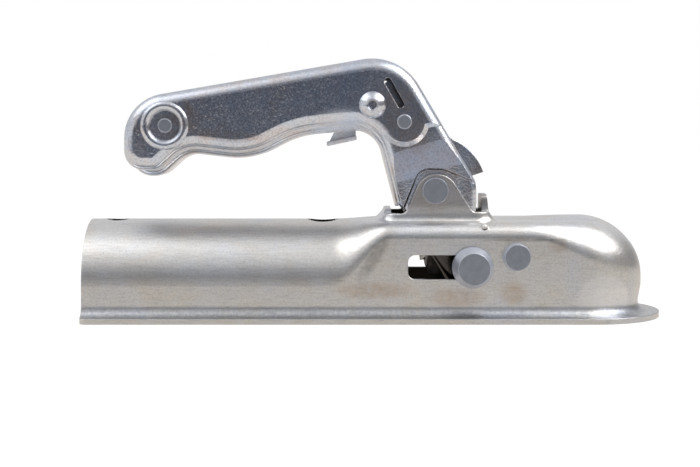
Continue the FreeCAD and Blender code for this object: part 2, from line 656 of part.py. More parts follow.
def make_housing_shell():
    sheet_wall = size("head_sheet")
    tail = -size("tail_length")
    outer = head_form("outer_form", 0.0, tail)
    outer = outer.fuse(flange_plate(underside, underside + sheet_wall, 0.0, tail)).removeSplitter()
    root = edges_at_height(
        outer, underside + sheet_wall,
        lambda middle, points: middle.x > tail + 1 and max(abs(p.y) for p in points) < head_half + 0.5)
    outer = outer.makeFillet(size("root_radius"), root)

    deep_tail = tail - 10
    inner = head_form("inner_form", sheet_wall, deep_tail)
    inner = inner.fuse(flange_plate(underside - 5, underside, 20.0, deep_tail)).removeSplitter()
    flare = edges_at_height(
        inner, underside,
        lambda middle, points: middle.x > deep_tail + 1 and max(abs(p.y) for p in points) < head_half)
    inner = inner.makeFillet(size("root_radius") + sheet_wall, flare)

    opening = rounded_block(-size("opening_rear"), -size("opening_front"), size("opening_half"),
                            size("opening_corner"), 0.0, FAR)
    raised = outer.fuse([collar()] + drawing_beads())
    shell = raised.cut(inner).cut(opening)
    for hole in (
        side_slot(),
        Part.makeCylinder(size("rear_hole"), FAR, Vector(-size("rear_hole_back"), 0, 0)),
        Part.makeCylinder(size("front_hole"), FAR, Vector(-size("front_hole_back"), 0, 0)),
        pin_solid(axle_x, axle_z, size("axle_radius"), FAR),
        pin_solid(jaw_x, jaw_z, size("jaw_rivet"), FAR),
    ):
        shell = shell.cut(hole)
    edges = [edge for edge in shell.Edges if on_ear_edge(edge)]
    return feature("housing_shell", shell.makeFillet(size("ear_edge"), edges))


# Rivets, axle, pin and sleeves, all turned across the part

def headed_pin(label, shaft, foot, face, reach, skirt, proud, x_words, z_words):
    """A pin with the same head at both ends; reach is half the length between the heads."""
    reach_skirt = total(*reach, skirt)
    reach_face = total(*reach, proud)
    reach_foot = total(*reach)
    corners = [
        (ZERO, minus(reach_face)),
        (total(face), minus(reach_face)),
        (total(foot), minus(reach_skirt)),
        (total(foot), minus(reach_foot)),
        (total(shaft), minus(reach_foot)),
        (total(shaft), reach_foot),
        (total(foot), reach_foot),
        (total(foot), reach_skirt),
        (total(face), reach_face),
        (ZERO, reach_face),
    ]
    return turned_part(label, corners, x_words, z_words)


def sleeve(label, inner, outer, near, far, x_words, z_words, side):
    """A plain sleeve on a pin, from near to far along Y, on side +1 or -1."""
    start = near if side > 0 else minus(near)
    end = far if side > 0 else minus(far)
    corners = [(inner, start), (outer, start), (outer, end), (inner, end)]
    return turned_part(label, corners, x_words, z_words)


HALF = ("drawbar_radius", "drawbar_gap", "head_sheet")


def make_axle():
    reach = ("opening_half", "head_sheet")
    return headed_pin("handle_axle", "axle_radius", "axle_head", "axle_head", reach,
                      "side_gap", "axle_proud", "-Sizes.axle_back", "Sizes.axle_height")


def make_jaw_rivet():
    return headed_pin("jaw_rivet", "jaw_rivet", "jaw_rivet_head", "jaw_rivet_face", HALF,
                      "side_gap", "jaw_rivet_proud", "-Sizes.jaw_pivot_back", "Sizes.jaw_pivot_height")


def make_slot_pin():
    """Cross pin with its forged head on the near side."""
    x_words, z_words = "-Sizes.pin_back", "Sizes.pin_height"
    seat = total(*HALF, "side_gap")
    skirt = total(*HALF, "side_gap", "pin_skirt")
    face = total(*HALF, "side_gap", "pin_proud")
    corners = [
        (ZERO, minus(face)),
        (total("pin_face"), minus(face)),
        (total("pin_head"), minus(skirt)),
        (total("pin_head"), minus(seat)),
        (total("pin_radius"), minus(seat)),
        (total("pin_radius"), face),
        (ZERO, face),
    ]
    return turned_part("slot_pin", corners, x_words, z_words)


def make_slot_pin_collar():
    """Collar riveted on the far end of the slot pin, shaped like the near head."""
    seat = total(*HALF, "side_gap")
    skirt = total(*HALF, "side_gap", "pin_skirt")
    face = total(*HALF, "side_gap", "pin_proud")
    corners = [
        (total("pin_radius"), seat),
        (total("pin_head"), seat),
        (total("pin_head"), skirt),
        (total("pin_face"), face),
        (total("pin_radius"), face),
    ]
    return turned_part("slot_pin_collar", corners, "-Sizes.pin_back", "Sizes.pin_height")


def plain_pin(label, radius, reach, x_words, z_words):
    """A straight pin with a small chamfer at both ends; reach is half its length."""
    full = total(radius)
    face = total(radius, "-pin_chamfer")
    end = total(*reach)
    edge = total(*reach, "-pin_chamfer")
    corners = [
        (ZERO, minus(end)),
        (face, minus(end)),
        (full, minus(edge)),
        (full, edge),
        (face, end),
        (ZERO, end),
    ]
    return turned_part(label, corners, x_words, z_words)


def make_end_rivet():
    reach = ("grip_half", "-boss_depth", "end_rivet_proud")
    return plain_pin("end_rivet", "end_rivet", reach, "-Sizes.boss_back", "Sizes.boss_height")


def make_stop_rivet():
    reach = ("grip_half", "stop_proud")
    return plain_pin("stop_rivet", "stop_rivet", reach, "-Sizes.stop_back", "Sizes.stop_height")


def make_catch_rivet():
    """Pivot of the catch, with domed and dimpled heads on both walls."""
    half = size("grip_half")
    radius = size("catch_dome")
    proud = size("catch_dome_proud")
    ball = (radius ** 2 + proud ** 2) / (2 * proud)
    shaft = Part.makeCylinder(size("catch_rivet"), 2 * half, Vector(0, -half, 0), Vector(0, 1, 0))
    cap = Part.makeSphere(ball, Vector(0, half + proud - ball, 0))
    cap = cap.common(Part.makeCylinder(radius, proud, Vector(0, half, 0), Vector(0, 1, 0)))
    dimple = Part.makeCone(size("catch_dimple") * 0.7, size("catch_dimple"), size("catch_dimple_depth"),
                           Vector(0, half + proud - size("catch_dimple_depth"), 0), Vector(0, 1, 0))
    cap = cap.cut(dimple)
    rivet = feature("catch_rivet", shaft.fuse([cap, mirrored(cap)]).removeSplitter())
    rivet.setExpression("Placement.Base.x", "-Sizes.catch_back")
    rivet.setExpression("Placement.Base.z", "Sizes.catch_height")
    return rivet


def make_spacers():
    """Sleeves that keep the fork, the jaw and the block in the middle of the head."""
    made = []
    wall_face = total("drawbar_radius", "drawbar_gap", "-side_gap")
    for side, word in ((-1, "near"), (1, "far")):
        made.append(sleeve(f"pin_spacer_{word}", total("pin_radius"), total("pin_radius", "sleeve_wall"),
                           total("fork_half", "side_gap"), wall_face,
                           "-Sizes.pin_back", "Sizes.pin_height", side))
        made.append(sleeve(f"jaw_spacer_{word}", total("jaw_rivet"), total("jaw_rivet", "sleeve_wall"),
                           total("jaw_half", "side_gap"), total("drawbar_radius", "drawbar_gap"),
                           "-Sizes.jaw_pivot_back", "Sizes.jaw_pivot_height", side))
    return made


def make_axle_sleeve():
    """Sleeve that carries the closing spring between the fork's walls."""
    half = total("fork_half", "-handle_sheet")
    inner = total("axle_radius", "running_gap")
    outer = total("axle_sleeve")
    corners = [(inner, minus(half)), (outer, minus(half)), (outer, half), (inner, half)]
    return turned_part("axle_sleeve", corners, "-Sizes.axle_back", "Sizes.axle_height")


# Jaw and pressure block

def make_ball_jaw():
    """Jaw that closes behind the ball: a hub on the rivet and a cheek that cups the ball."""
    reach = size("ball_radius") + size("jaw_gap")
    back = -size("jaw_back_face")
    foot = -size("jaw_foot")
    thick = reach + size("jaw_thickness")
    hub = size("jaw_hub")
    half = size("jaw_half")
    heel_x = -math.sqrt(thick ** 2 - foot ** 2)
    cheek = polygon([
        (jaw_x - hub, jaw_z),
        (back, jaw_z - hub),
        (back, -size("jaw_heel")),
        (heel_x, foot),
        (-size("jaw_front"), foot),
        (-size("jaw_front"), jaw_z),
    ])
    solid = across(cheek, half).fuse(pin_solid(jaw_x, jaw_z, hub, half))
    solid = solid.cut(Part.makeSphere(reach))
    solid = solid.cut(pin_solid(jaw_x, jaw_z, size("jaw_rivet") + size("running_gap"), half + 1))
    return feature("ball_jaw", solid.removeSplitter())


def make_pressure_block():
    """Block on the slot pin whose nose backs the jaw when the head is closed."""
    face = -size("jaw_back_face") - size("block_gap")
    hub = size("block_hub")
    half = size("block_half")
    tail_x = pin_x - size("block_tail")
    nose = polygon([
        (pin_x, pin_z + hub),
        (pin_x + size("block_shoulder"), pin_z + hub),
        (face, jaw_z - size("jaw_hub") + size("block_gap")),
        (face, -size("block_nose_foot")),
        (pin_x, pin_z - hub),
        (tail_x, pin_z - hub),
        (tail_x, pin_z + hub),
    ])
    block = across(nose, half).fuse([pin_solid(tail_x, pin_z, hub, half)])
    block = block.cut(pin_solid(pin_x, pin_z, size("pin_radius"), half + 1))
    block = block.cut(pin_solid(jaw_x, jaw_z, size("jaw_hub") + size("block_gap"), half + 1))
    return feature("pressure_block", block.removeSplitter())


# Handle

def rounded_path(corners, closed=True):
    """Edges of an outline given as (x, z, radius); each corner is a tangent arc."""
    count = len(corners)
    starts, ends, middles = [], [], []
    for index, (x, z, radius) in enumerate(corners):
        here = side_point(x, z)
        if radius == 0.0:
            starts.append(here)
            middles.append(here)
            ends.append(here)
            continue
        before = side_point(*corners[index - 1][:2])
        after = side_point(*corners[(index + 1) % count][:2])
        back = (before - here).normalize()
        on = (after - here).normalize()
        half_angle = back.getAngle(on) / 2
        reach = radius / math.tan(half_angle)
        inward = (back + on).normalize()
        starts.append(here + back * reach)
        ends.append(here + on * reach)
        middles.append(here + inward * (radius / math.sin(half_angle) - radius))
    edges = []
    for index in range(count):
        if corners[index][2] > 0:
            edges.append(arc(starts[index], middles[index], ends[index]))
        following = (index + 1) % count
        if following != 0 or closed:
            edges.append(line(ends[index], starts[following]))
    return edges


def moved_out(corners, distances, closed=True):
    """The outline moved to its right-hand side, each straight part by its own distance."""
    count = len(corners)
    moved_lines = []
    for index in range(count if closed else count - 1):
        here = side_point(*corners[index][:2])
        there = side_point(*corners[(index + 1) % count][:2])
        run = (there - here).normalize()
        outward = Vector(run.z, 0, -run.x)
        moved_lines.append((here + outward * distances[index], there + outward * distances[index], run))
    result = []
    for index, (x, z, radius) in enumerate(corners):
        if not closed and index in (0, count - 1):
            point = moved_lines[0][0] if index == 0 else moved_lines[-1][1]
            result.append((point.x, point.z, 0.0))
            continue
        before, after = moved_lines[index - 1], moved_lines[index]
        turn = before[2].x * after[2].z - before[2].z * after[2].x
        gap = after[0] - before[0]
        reach = (gap.x * after[2].z - gap.z * after[2].x) / turn
        point = before[0] + before[2] * reach
        change = distances[index - 1] if turn > 0 else -distances[index - 1]
        result.append((point.x, point.z, max(radius + change, 0.0) if radius > 0 else 0.0))
    return result


def finger_line():
    """Open lower edge of the handle from the pommel along the finger hollows to the crook."""
    return [
        (-size("pommel_front_back"), size("pommel_foot"), size("pommel_front_radius")),
        (-size("hollow_back"), size("hollow_height"), size("hollow_radius")),
        (-size("swell_back"), size("swell_height"), size("swell_radius")),
        (-size("rest_back"), size("rest_height"), size("rest_radius")),
        (-size("crook_back"), size("crook_height"), size("crook_radius")),
    ]


def handle_outline():
    """Side view of the handle's sheet, from the grip's end over the top to the fork and back."""
    corner_x, corner_z = -size("corner_back"), size("corner_height")
    end = -size("end_back")
    end_top = corner_z + (end - corner_x) * math.tan(math.radians(size("grip_slope")))
    front = axle_x + size("knee_reach")
    knee = corner_z - (front - corner_x) * math.tan(math.radians(size("web_slope")))
    hub = size("fork_hub_radius")
    throat_x, throat_z = -size("throat_back"), size("throat_height")
    bottom = pin_z - hub
    fork_front = pin_x + size("fork_reach")
    gap = math.hypot(throat_x - pin_x, throat_z - pin_z)
    lean = math.atan2(pin_z - throat_z, pin_x - throat_x) - math.asin(hub / gap)
    heel = throat_x + (bottom - throat_z) / math.tan(lean)
    return [
        (end, end_top, size("end_radius")),
        (corner_x, corner_z, size("corner_radius")),
        (front, knee, size("knee_radius")),
        (front, crown - size("head_sheet") + size("side_gap"), size("fork_shoulder")),
        (fork_front, pin_z + hub, size("fork_shoulder")),
        (fork_front, bottom, size("fork_front_radius")),
        (heel, bottom, hub),
        (throat_x, throat_z, size("throat_radius")),
    ] + finger_line()[::-1] + [
        (end, size("pommel_foot"), size("pommel_radius")),
    ]


def handle_wire(inset):
    wire = Part.Wire(rounded_path(handle_outline()))
    if inset:
        wire = wire.makeOffset2D(-inset)
    return wire


def rounded_slab(inset, half, radius):
    """The handle's outline as a slab with rounded edges on both sides."""
    width = half - inset
    slab = across(handle_wire(inset), width)
    rims = [edge for edge in slab.Edges
            if all(abs(abs(vertex.Point.y) - width) < 1e-6 for vertex in edge.Vertexes)]
    return slab.makeFillet(radius - inset, rims)


def sloping_cutter(corners, spread, low, high):
    """Cuts all of the outline beyond a half width, with walls that spread on the way out."""
    beyond = high + 1.0
    widened = spread * (beyond - low) / (high - low)
    inner_wire = Part.Wire(rounded_path(corners))
    outer_wire = Part.Wire(rounded_path(moved_out(corners, [widened] * len(corners))))
    inner_wire.translate(Vector(0, low, 0))
    outer_wire.translate(Vector(0, beyond, 0))
    far = Part.makeLoft([inner_wire, outer_wire], True, True)
    return far.fuse(mirrored(far))


def below_line(first, second, lift):
    """Corners of everything under a slanted line in the side view."""
    slope = (second[1] - first[1]) / (second[0] - first[0])
    left, right = -FAR, FAR
    return [
        (left, -FAR, 0.0),
        (right, -FAR, 0.0),
        (right, first[1] + slope * (right - first[0]) + lift, 0.0),
        (left, first[1] + slope * (left - first[0]) + lift, 0.0),
    ]


def recess_corners():
    """Side view of the narrow part of the handle, which clears the ears while it swings."""
    rear, floor = -size("recess_rear_back"), size("recess_floor")
    corner_x, top = -size("recess_corner_rear"), size("recess_top")
    front, front_z = -size("recess_front_back"), size("recess_front_height")
    return [
        (-FAR, -FAR, 0.0),
        (front, -FAR, 0.0),
        (front, front_z, 0.0),
        (-size("recess_corner_front"), top, size("recess_round")),
        (corner_x, top, size("recess_round")),
        (rear + (floor - crown) / 2, floor, 0.0),
        (-FAR, floor, 0.0),
    ]


def handle_form(inset):
    """Widest at the grip, narrower along the limb and narrowest between the ears."""
    grip, limb = size("grip_half") - inset, size("limb_half") - inset
    relief, fork = size("relief_half") - inset, size("fork_half") - inset
    wide = rounded_slab(inset, size("grip_half"), size("grip_edge"))
    under_grip = below_line((-size("step_rear_back"), size("step_rear_height")),
                            (-size("step_front_back"), size("step_front_height")), inset)
    spread = size("grip_spread")
    narrowed = spread * (grip + 1.0 - limb) / (grip - limb)
    foot_radius = size("lobe_radius") + spread - inset
    lobe = Part.makeCone(foot_radius, foot_radius - narrowed, grip + 1.0 - limb,
                         Vector(stop_x, limb, stop_z), Vector(0, 1, 0))
    lobes = pin_solid(stop_x, stop_z, foot_radius, limb).fuse([lobe, mirrored(lobe)])
    step = across(Part.Wire(rounded_path(under_grip)), limb)
    wide = wide.cut(step.fuse(sloping_cutter(under_grip, spread, limb, grip)).cut(lobes))

    middle = rounded_slab(inset, size("limb_half"), size("limb_edge"))
    under_limb = below_line((-size("relief_rear_back"), size("relief_rear_height")),
                            (-size("relief_front_back"), size("relief_front_height")), inset)
    middle = middle.cut(sloping_cutter(under_limb, size("relief_spread"), relief, limb))
    recess = moved_out(recess_corners(), [inset / 2] * 7)
    middle = middle.cut(sloping_cutter(recess, size("fork_spread"), fork, limb))
    middle = middle.cut(across(Part.Wire(rounded_path(recess)), fork))

    narrow = rounded_slab(inset, size("fork_half"), size("fork_edge"))
    return narrow.fuse([middle, wide])


def dish(grow):
    """The flat floor of the dish round the end rivet, cut or kept with the sheet's thickness."""
    depth = size("boss_depth") + grow
    far = Part.makeCylinder(size("boss_floor") + grow, depth + 2.0,
                            Vector(boss_x, size("grip_half") - depth, boss_z), Vector(0, 1, 0))
    return far.fuse(mirrored(far))


def dish_beads():
    """The round beads that frame the dishes."""
    far = Part.makeTorus(size("boss_bead"), size("boss_bead_round"),
                         Vector(boss_x, size("grip_half") - size("boss_bead_sunk"), boss_z), Vector(0, 1, 0))
    return [far, mirrored(far)]


def slot_between(first, second, radius, half):
    """A slot through the part between two points of the side view."""
    along = Vector(second[0] - first[0], 0, second[1] - first[1])
    length = along.Length
    middle = Part.makeBox(length, 2 * half, 2 * radius, Vector(0, -half, -radius))
    angle = -math.degrees(math.atan2(along.z, along.x))
    middle.rotate(Vector(0, 0, 0), Vector(0, 1, 0), angle)
    middle.translate(side_point(*first))
    return middle.fuse([pin_solid(first[0], first[1], radius, half), pin_solid(second[0], second[1], radius, half)])


def window_slot():
    """Window in both walls, square to the line from the catch pivot."""
    x, z = -size("window_back"), size("window_height")
    from_catch = math.atan2(z - catch_z, x - catch_x)
    half_run = (size("window_length") - size("window_width")) / 2
    run = (math.sin(from_catch) * half_run, -math.cos(from_catch) * half_run)
    return slot_between((x - run[0], z - run[1]), (x + run[0], z + run[1]), size("window_width") / 2, FAR)


def fork_slots():
    """Slots of the fork that let the pin run straight while the fork swings round the axle."""
    rest = math.hypot(pin_x - axle_x, pin_z - axle_z)
    near = axle_z - pin_z
    angle = math.degrees(math.atan2(pin_z - axle_z, pin_x - axle_x))
    end = size("fork_slot_end")
    first = polar(axle_x, axle_z, near - end, angle)
    second = polar(axle_x, axle_z, rest + end, angle)
    radius = size("pin_radius") + size("fork_slot_gap")
    return slot_between((first.x, first.z), (second.x, second.z), radius, FAR)


def band_along(corners, inward, half):
    """A band from an open outline towards the inside of the handle."""
    path = Part.Wire(rounded_path(corners, closed=False))
    band = path.makeOffset2D(inward, 0, True, True)
    band.translate(Vector(0, -half, 0))
    return band.extrude(Vector(0, 2 * half, 0))


def rolled_along(block, corners, half, radius):
    """The same block with its two long edges along a side-view line rounded."""
    path = Part.Wire(rounded_path(corners, closed=False))
    rims = []
    for edge in block.Edges:
        point = edge.valueAt((edge.FirstParameter + edge.LastParameter) / 2)
        on_side = abs(abs(point.y) - half) < 1e-6
        if on_side and path.distToShape(Part.Vertex(side_point(point.x, point.z)))[0] < 1e-3:
            rims.append(edge)
    return block.makeFillet(radius, rims)


def limb_foot():
    """Lower end of the limb's open edge, on the line from the crook to the throat."""
    throat = (-size("throat_back"), size("throat_height"))
    crook = (-size("crook_back"), size("crook_height"))
    share = (size("liner_foot") - throat[1]) / (crook[1] - throat[1])
    return (throat[0] + share * (crook[0] - throat[0]), size("liner_foot"), 0.0)


def liner_line():
    """Outer line of the inner shell: inside the grip's end, round it and along the open edge."""
    end, foot = -size("end_back"), size("pommel_foot")
    corners = [(end, size("liner_start"), 0.0), (end, foot, size("pommel_radius"))] + finger_line() + [limb_foot()]
    proud = size("liner_proud")
    distances = [-size("liner_set_in")] + [proud] * len(finger_line()) + [size("liner_proud_limb")]
    moved = moved_out(corners, distances, closed=False)
    moved[1] = (moved[1][0], moved[1][1], size("liner_round"))
    return moved


def fin_slot():
    """Slot in the front web through which the fin comes out, from its swung foot to its arm."""
    gap = size("fin_slot_gap")
    knee_x, knee_z = -size("arm_knee_back") - axle_x, size("arm_knee_height") - axle_z
    reach = max(size("fin_radius"), math.hypot(knee_x, knee_z)) + 2 * gap
    high = math.degrees(math.atan2(knee_z, knee_x)) + size("catch_swing") / 2
    low = size("fin_foot") - 2.5 * size("catch_swing")
    return sector(axle_x, axle_z, size("axle_radius"), reach, low, high, size("catch_plate") / 2 + gap)


def make_handle_shell():
    """Outer shell of the handle: a hollow pressing that is open towards the hand and the head."""
    sheet_wall = size("handle_sheet")
    inner_half = size("fork_half") - sheet_wall
    outer = handle_form(0.0).fuse(dish_beads()).cut(dish(0.0))
    inner = handle_form(sheet_wall).cut(dish(sheet_wall))
    shell = outer.cut(inner)
    pommel_front = finger_line()[0]
    head = (pommel_front[0] - size("pommel_front_radius"), pommel_front[1], 0.0)
    edge = [head] + finger_line() + [limb_foot()]
    shell = shell.cut(band_along(edge, sheet_wall + 1.0, inner_half))
    shell = shell.cut(band_along(moved_out(edge, [1.0] * len(edge), closed=False), 2.0, inner_half))
    shell = shell.cut(band_along(liner_line(), size("liner_proud") + size("liner_depth"), inner_half))
    below = Part.makeBox(FAR, 2 * inner_half, FAR, Vector(-FAR, -inner_half, size("web_foot_height") - FAR))
    for hole in (
        below,
        fin_slot(),
        window_slot(),
        fork_slots(),
        pin_solid(axle_x, axle_z, size("axle_radius") + size("running_gap"), FAR),
        pin_solid(catch_x, catch_z, size("catch_rivet"), FAR),
        pin_solid(stop_x, stop_z, size("stop_rivet"), FAR),
        pin_solid(boss_x, boss_z, size("end_rivet"), FAR),
    ):
        shell = shell.cut(hole)
    return feature("handle_shell", shell)


def make_handle_liner():
    """Inner shell: a channel along the open edge that closes the handle towards the hand."""
    half = size("fork_half") - size("handle_sheet")
    wall = size("liner_sheet")
    depth = size("liner_proud") + size("liner_depth")
    outer_line = liner_line()
    inner_line = moved_out(outer_line, [-wall] * len(outer_line), closed=False)
    outside = rolled_along(band_along(outer_line, depth, half), outer_line, half, size("liner_roll"))
    inside = band_along(inner_line, depth, half - wall)
    inside = rolled_along(inside, inner_line, half - wall, size("liner_roll") - wall)
    channel = outside.cut(inside)
    rear, front = -size("liner_window_rear"), -size("liner_window_front")
    window_half = size("liner_window_half")
    window = Part.makeBox(front - rear, 2 * window_half, FAR, Vector(rear, -window_half, 0))
    channel = channel.cut(window)
    channel = channel.cut(pin_solid(catch_x, catch_z, size("catch_rivet"), FAR))
    channel = channel.cut(pin_solid(stop_x, stop_z, size("stop_rivet"), FAR))
    return feature("handle_liner", channel)


# Catch lever

def sector(x, z, inner, outer, low, high, half):
    """Part of a ring across the part, between two angles in degrees."""
    middle = (low + high) / 2
    wire = Part.Wire([
        line(polar(x, z, inner, low), polar(x, z, outer, low)),
        arc(polar(x, z, outer, low), polar(x, z, outer, middle), polar(x, z, outer, high)),
        line(polar(x, z, outer, high), polar(x, z, inner, high)),
        arc(polar(x, z, inner, high), polar(x, z, inner, middle), polar(x, z, inner, low)),
    ])
    return across(wire, half)


def finger_corners():
    """Side view of the bent finger piece."""
    radius = size("finger_round")
    front = -size("finger_front_back")
    return [
        (-size("finger_rear_back"), size("finger_rear_height"), radius),
        (front, size("finger_front_height"), radius),
        (front, size("finger_top_height"), 0.0),
        (-size("finger_top_back"), size("finger_top_height"), 0.0),
    ]


def rounded_sides(block, half, radius):
    """The same block with rounded edges round its two side faces."""
    rims = [edge for edge in block.Edges
            if all(abs(abs(vertex.Point.y) - half) < 1e-6 for vertex in edge.Vertexes)]
    return block.makeFillet(radius, rims)


def finger_piece():
    """Tray under the plate with a lip below and a shallow hollow along both sides."""
    half, wall, proud = size("finger_half"), size("finger_sheet"), size("finger_lip_proud")
    outline = finger_corners()
    tray = rounded_sides(across(Part.Wire(rounded_path(outline)), half), half, size("finger_round") / 2)
    rear, front, height = outline[0], outline[1], size("finger_lip")
    lip = across(Part.Wire(rounded_path([
        (rear[0] - proud / 2, rear[1] - proud / 2, height / 3),
        (front[0] + proud / 2, front[1] - proud / 2, height / 3),
        (front[0] + proud / 2, front[1] + height, height / 3),
        (rear[0] - proud / 2, rear[1] + height, height / 3),
    ])), half + proud)
    lip = rounded_sides(lip, half + proud, proud * 0.8)
    scoop = size("finger_scoop")
    lean = math.degrees(math.atan2(front[1] - rear[1], front[0] - rear[0]))
    hollow = Part.makeCylinder(scoop, FAR, Vector(-FAR / 2, 0, 0), Vector(1, 0, 0))
    hollow.rotate(Vector(0, 0, 0), Vector(0, 1, 0), -lean)
    aside = half + scoop - size("finger_scoop_depth")
    hollow.translate(Vector((rear[0] + front[0]) / 2, aside, (rear[1] + front[1]) / 2 + height + scoop / 2))
    tray = tray.cut(hollow).cut(mirrored(hollow)).fuse(lip)
    pocket = moved_out(outline, [-wall] * 4)
    open_top = [pocket[0], pocket[1], (pocket[1][0], FAR, 0.0), (pocket[3][0], FAR, 0.0)]
    return tray.cut(across(Part.Wire(rounded_path(open_top)), half - wall))


def make_catch_lever():
    """Catch plate with its hub, the fin that drops behind the tab and the finger piece."""
    half = size("catch_plate") / 2
    rest_edge = size("fin_radius") - size("fin_depth")
    fin = sector(axle_x, axle_z, rest_edge, size("fin_radius"), size("fin_foot"), size("fin_top"), half)
    fin_out = polar(axle_x, axle_z, size("fin_radius"), size("fin_top"))
    fin_in = polar(axle_x, axle_z, rest_edge, size("fin_top"))
    disc = size("catch_disc")
    upper = polar(catch_x, catch_z, disc, 68)
    lower = polar(catch_x, catch_z, disc, 248)
    arm = across(polygon([
        (upper.x, upper.z),
        (-size("arm_crest_back"), size("arm_crest_height")),
        (-size("arm_top_back"), size("arm_top_height")),
        (-size("arm_knee_back"), size("arm_knee_height")),
        (fin_out.x, fin_out.z),
        (fin_in.x, fin_in.z),
        (-size("arm_foot_back"), size("arm_foot_height")),
        (lower.x, lower.z),
    ]), half)
    left = polar(catch_x, catch_z, disc, 150)
    right = polar(catch_x, catch_z, disc, 275)
    rear_foot, front_foot, front_top, rear_top = moved_out(finger_corners(), [-size("finger_sheet") / 2] * 4)
    finger_arm = across(polygon([
        (left.x, left.z),
        rear_top[:2],
        rear_foot[:2],
        front_foot[:2],
        front_top[:2],
        (right.x, right.z),
    ]), half)
    room = size("stop_rivet") + size("stop_slot_gap")
    reach = math.hypot(stop_x - catch_x, stop_z - catch_z)
    angle = math.degrees(math.atan2(stop_z - catch_z, stop_x - catch_x))
    swung = angle + size("catch_swing")
    metal = room + size("stop_slot_wall")
    first = polar(catch_x, catch_z, reach, angle)
    second = polar(catch_x, catch_z, reach, swung)
    plate = fin.fuse([arm, finger_arm, pin_solid(catch_x, catch_z, disc, half),
                      pin_solid(first.x, first.z, metal, half),
                      pin_solid(second.x, second.z, metal, half)])
    hub = pin_solid(catch_x, catch_z, size("catch_hub"), size("catch_hub_half"))
    lever = plate.fuse([finger_piece(), hub]).removeSplitter()
    kidney = sector(catch_x, catch_z, reach - room, reach + room, angle, swung, half + 1)
    kidney = kidney.fuse([pin_solid(first.x, first.z, room, half + 1),
                          pin_solid(second.x, second.z, room, half + 1)])
    lever = lever.cut(kidney)
    bore = pin_solid(catch_x, catch_z, size("catch_rivet") + size("running_gap"), FAR)
    return feature("catch_lever", lever.cut(bore))


# Springs

def spring_leg(end, outward, length, hook, wire):
    """Edges from the tip of a leg to the coil, and the tip with its heading."""
    corner = end + outward * length
    if hook == 0.0:
        return [line(corner, end)], corner, outward * -1
    bend = 2 * wire
    near = Vector(0, -1, 0)
    side = (near - outward * near.dot(outward)).normalize()
    middle = corner + (side - outward).normalize() * (bend * (math.sqrt(2) - 1))
    tip = corner + side * hook
    edges = [
        line(tip, corner + side * bend),
        arc(corner + side * bend, middle, corner - outward * bend),
        line(corner - outward * bend, end),
    ]
    return edges, tip, side * -1


def torsion_spring(label, x, z, coil, legs, hooks):
    """Wire swept along a leg, a coil round a side-view centre and a second leg.

    The coil is its radius, wire radius, first Y, pitch, first angle and winding; a hook turns
    the end of its leg towards the near side.
    """
    radius, wire, low, pitch, first_angle, swept = coil
    helix = Part.makeHelix(pitch, pitch * swept / 360.0, radius)
    helix.rotate(Vector(0, 0, 0), Vector(1, 0, 0), -90)
    helix.rotate(Vector(0, 0, 0), Vector(0, 1, 0), -first_angle)
    helix.translate(Vector(x, low, z))
    edge = helix.Edges[0]
    first, last = edge.valueAt(edge.FirstParameter), edge.valueAt(edge.LastParameter)
    go_first, go_last = edge.tangentAt(edge.FirstParameter), edge.tangentAt(edge.LastParameter)
    start_edges, tip, heading = spring_leg(first, go_first * -1, legs[0], hooks[0], wire)
    end_edges = spring_leg(last, go_last, legs[1], hooks[1], wire)[0]
    corners = [tip + spoke * wire for spoke in spokes(heading)]
    profile = Part.makePolygon(corners + corners[:1])
    path = Part.Wire(Part.__sortEdges__(start_edges + [edge] + end_edges))
    return feature(label, path.makePipeShell([profile], True, False))


def spokes(heading):
    """Eight directions square to a heading."""
    first = heading.cross(Vector(0, 1, 0) if abs(heading.y) < 0.5 else Vector(1, 0, 0)).normalize()
    second = heading.cross(first).normalize()
    turns = [math.radians(45 * number) for number in range(8)]
    return [first * math.cos(turn) + second * math.sin(turn) for turn in turns]


def make_closing_spring():
    """Torsion spring on the axle sleeve; one leg presses the fork, the other the top plate."""
    wire = size("spring_wire")
    radius = size("axle_sleeve") + size("spring_gap") + wire
    coil = (radius, wire, -size("spring_side"), size("spring_pitch"), size("spring_start"), size("spring_swept"))
    legs = (size("spring_fork_leg"), size("spring_plate_leg"))
    return torsion_spring("closing_spring", axle_x, axle_z, coil, legs, (size("spring_hook"), 0.0))


def make_catch_spring():
    """Torsion spring on the catch's hub; one leg hooks over the catch, the other lies on the stop rivet."""
    wire = size("catch_wire")
    radius = size("catch_hub") + size("spring_gap") / 2 + wire
    apart = math.hypot(stop_x - catch_x, stop_z - catch_z)
    over = size("stop_rivet") + wire
    towards = math.degrees(math.atan2(stop_z - catch_z, stop_x - catch_x))
    last_angle = towards + math.degrees(math.acos((radius - over) / apart))
    swept = size("catch_arm_angle") - last_angle + 360.0 * size("catch_turns")
    reach = math.sqrt(apart ** 2 - (radius - over) ** 2) + size("catch_leg_past")
    low = size("catch_plate") / 2 + 2 * wire + size("side_gap")
    coil = (radius, wire, low, size("catch_pitch"), size("catch_arm_angle"), swept)
    hook = low + size("catch_plate") / 2
    return torsion_spring("catch_spring", catch_x, catch_z, coil, (size("catch_arm_leg"), reach), (hook, 0.0))


made = [
    make_housing_shell(),
    make_jaw_rivet(),
    make_axle(),
    make_handle_shell(),
    make_handle_liner(),
    make_end_rivet(),
    make_stop_rivet(),
    make_catch_rivet(),
    make_axle_sleeve(),
    make_catch_lever(),
    make_closing_spring(),
    make_catch_spring(),
    make_slot_pin(),
    make_slot_pin_collar(),
    make_pressure_block(),
    make_ball_jaw(),
] + make_spacers()

doc.recompute()

for part in made:
    if "Invalid" in part.State or "Error" in part.State:
        raise RuntimeError(part.Label + " did not compute")
    if part.Shape.isNull() or not part.Shape.isValid():
        raise RuntimeError(part.Label + " has no valid shape")
    if len(part.Shape.Solids) != 1:
        raise RuntimeError(part.Label + " is not one solid")

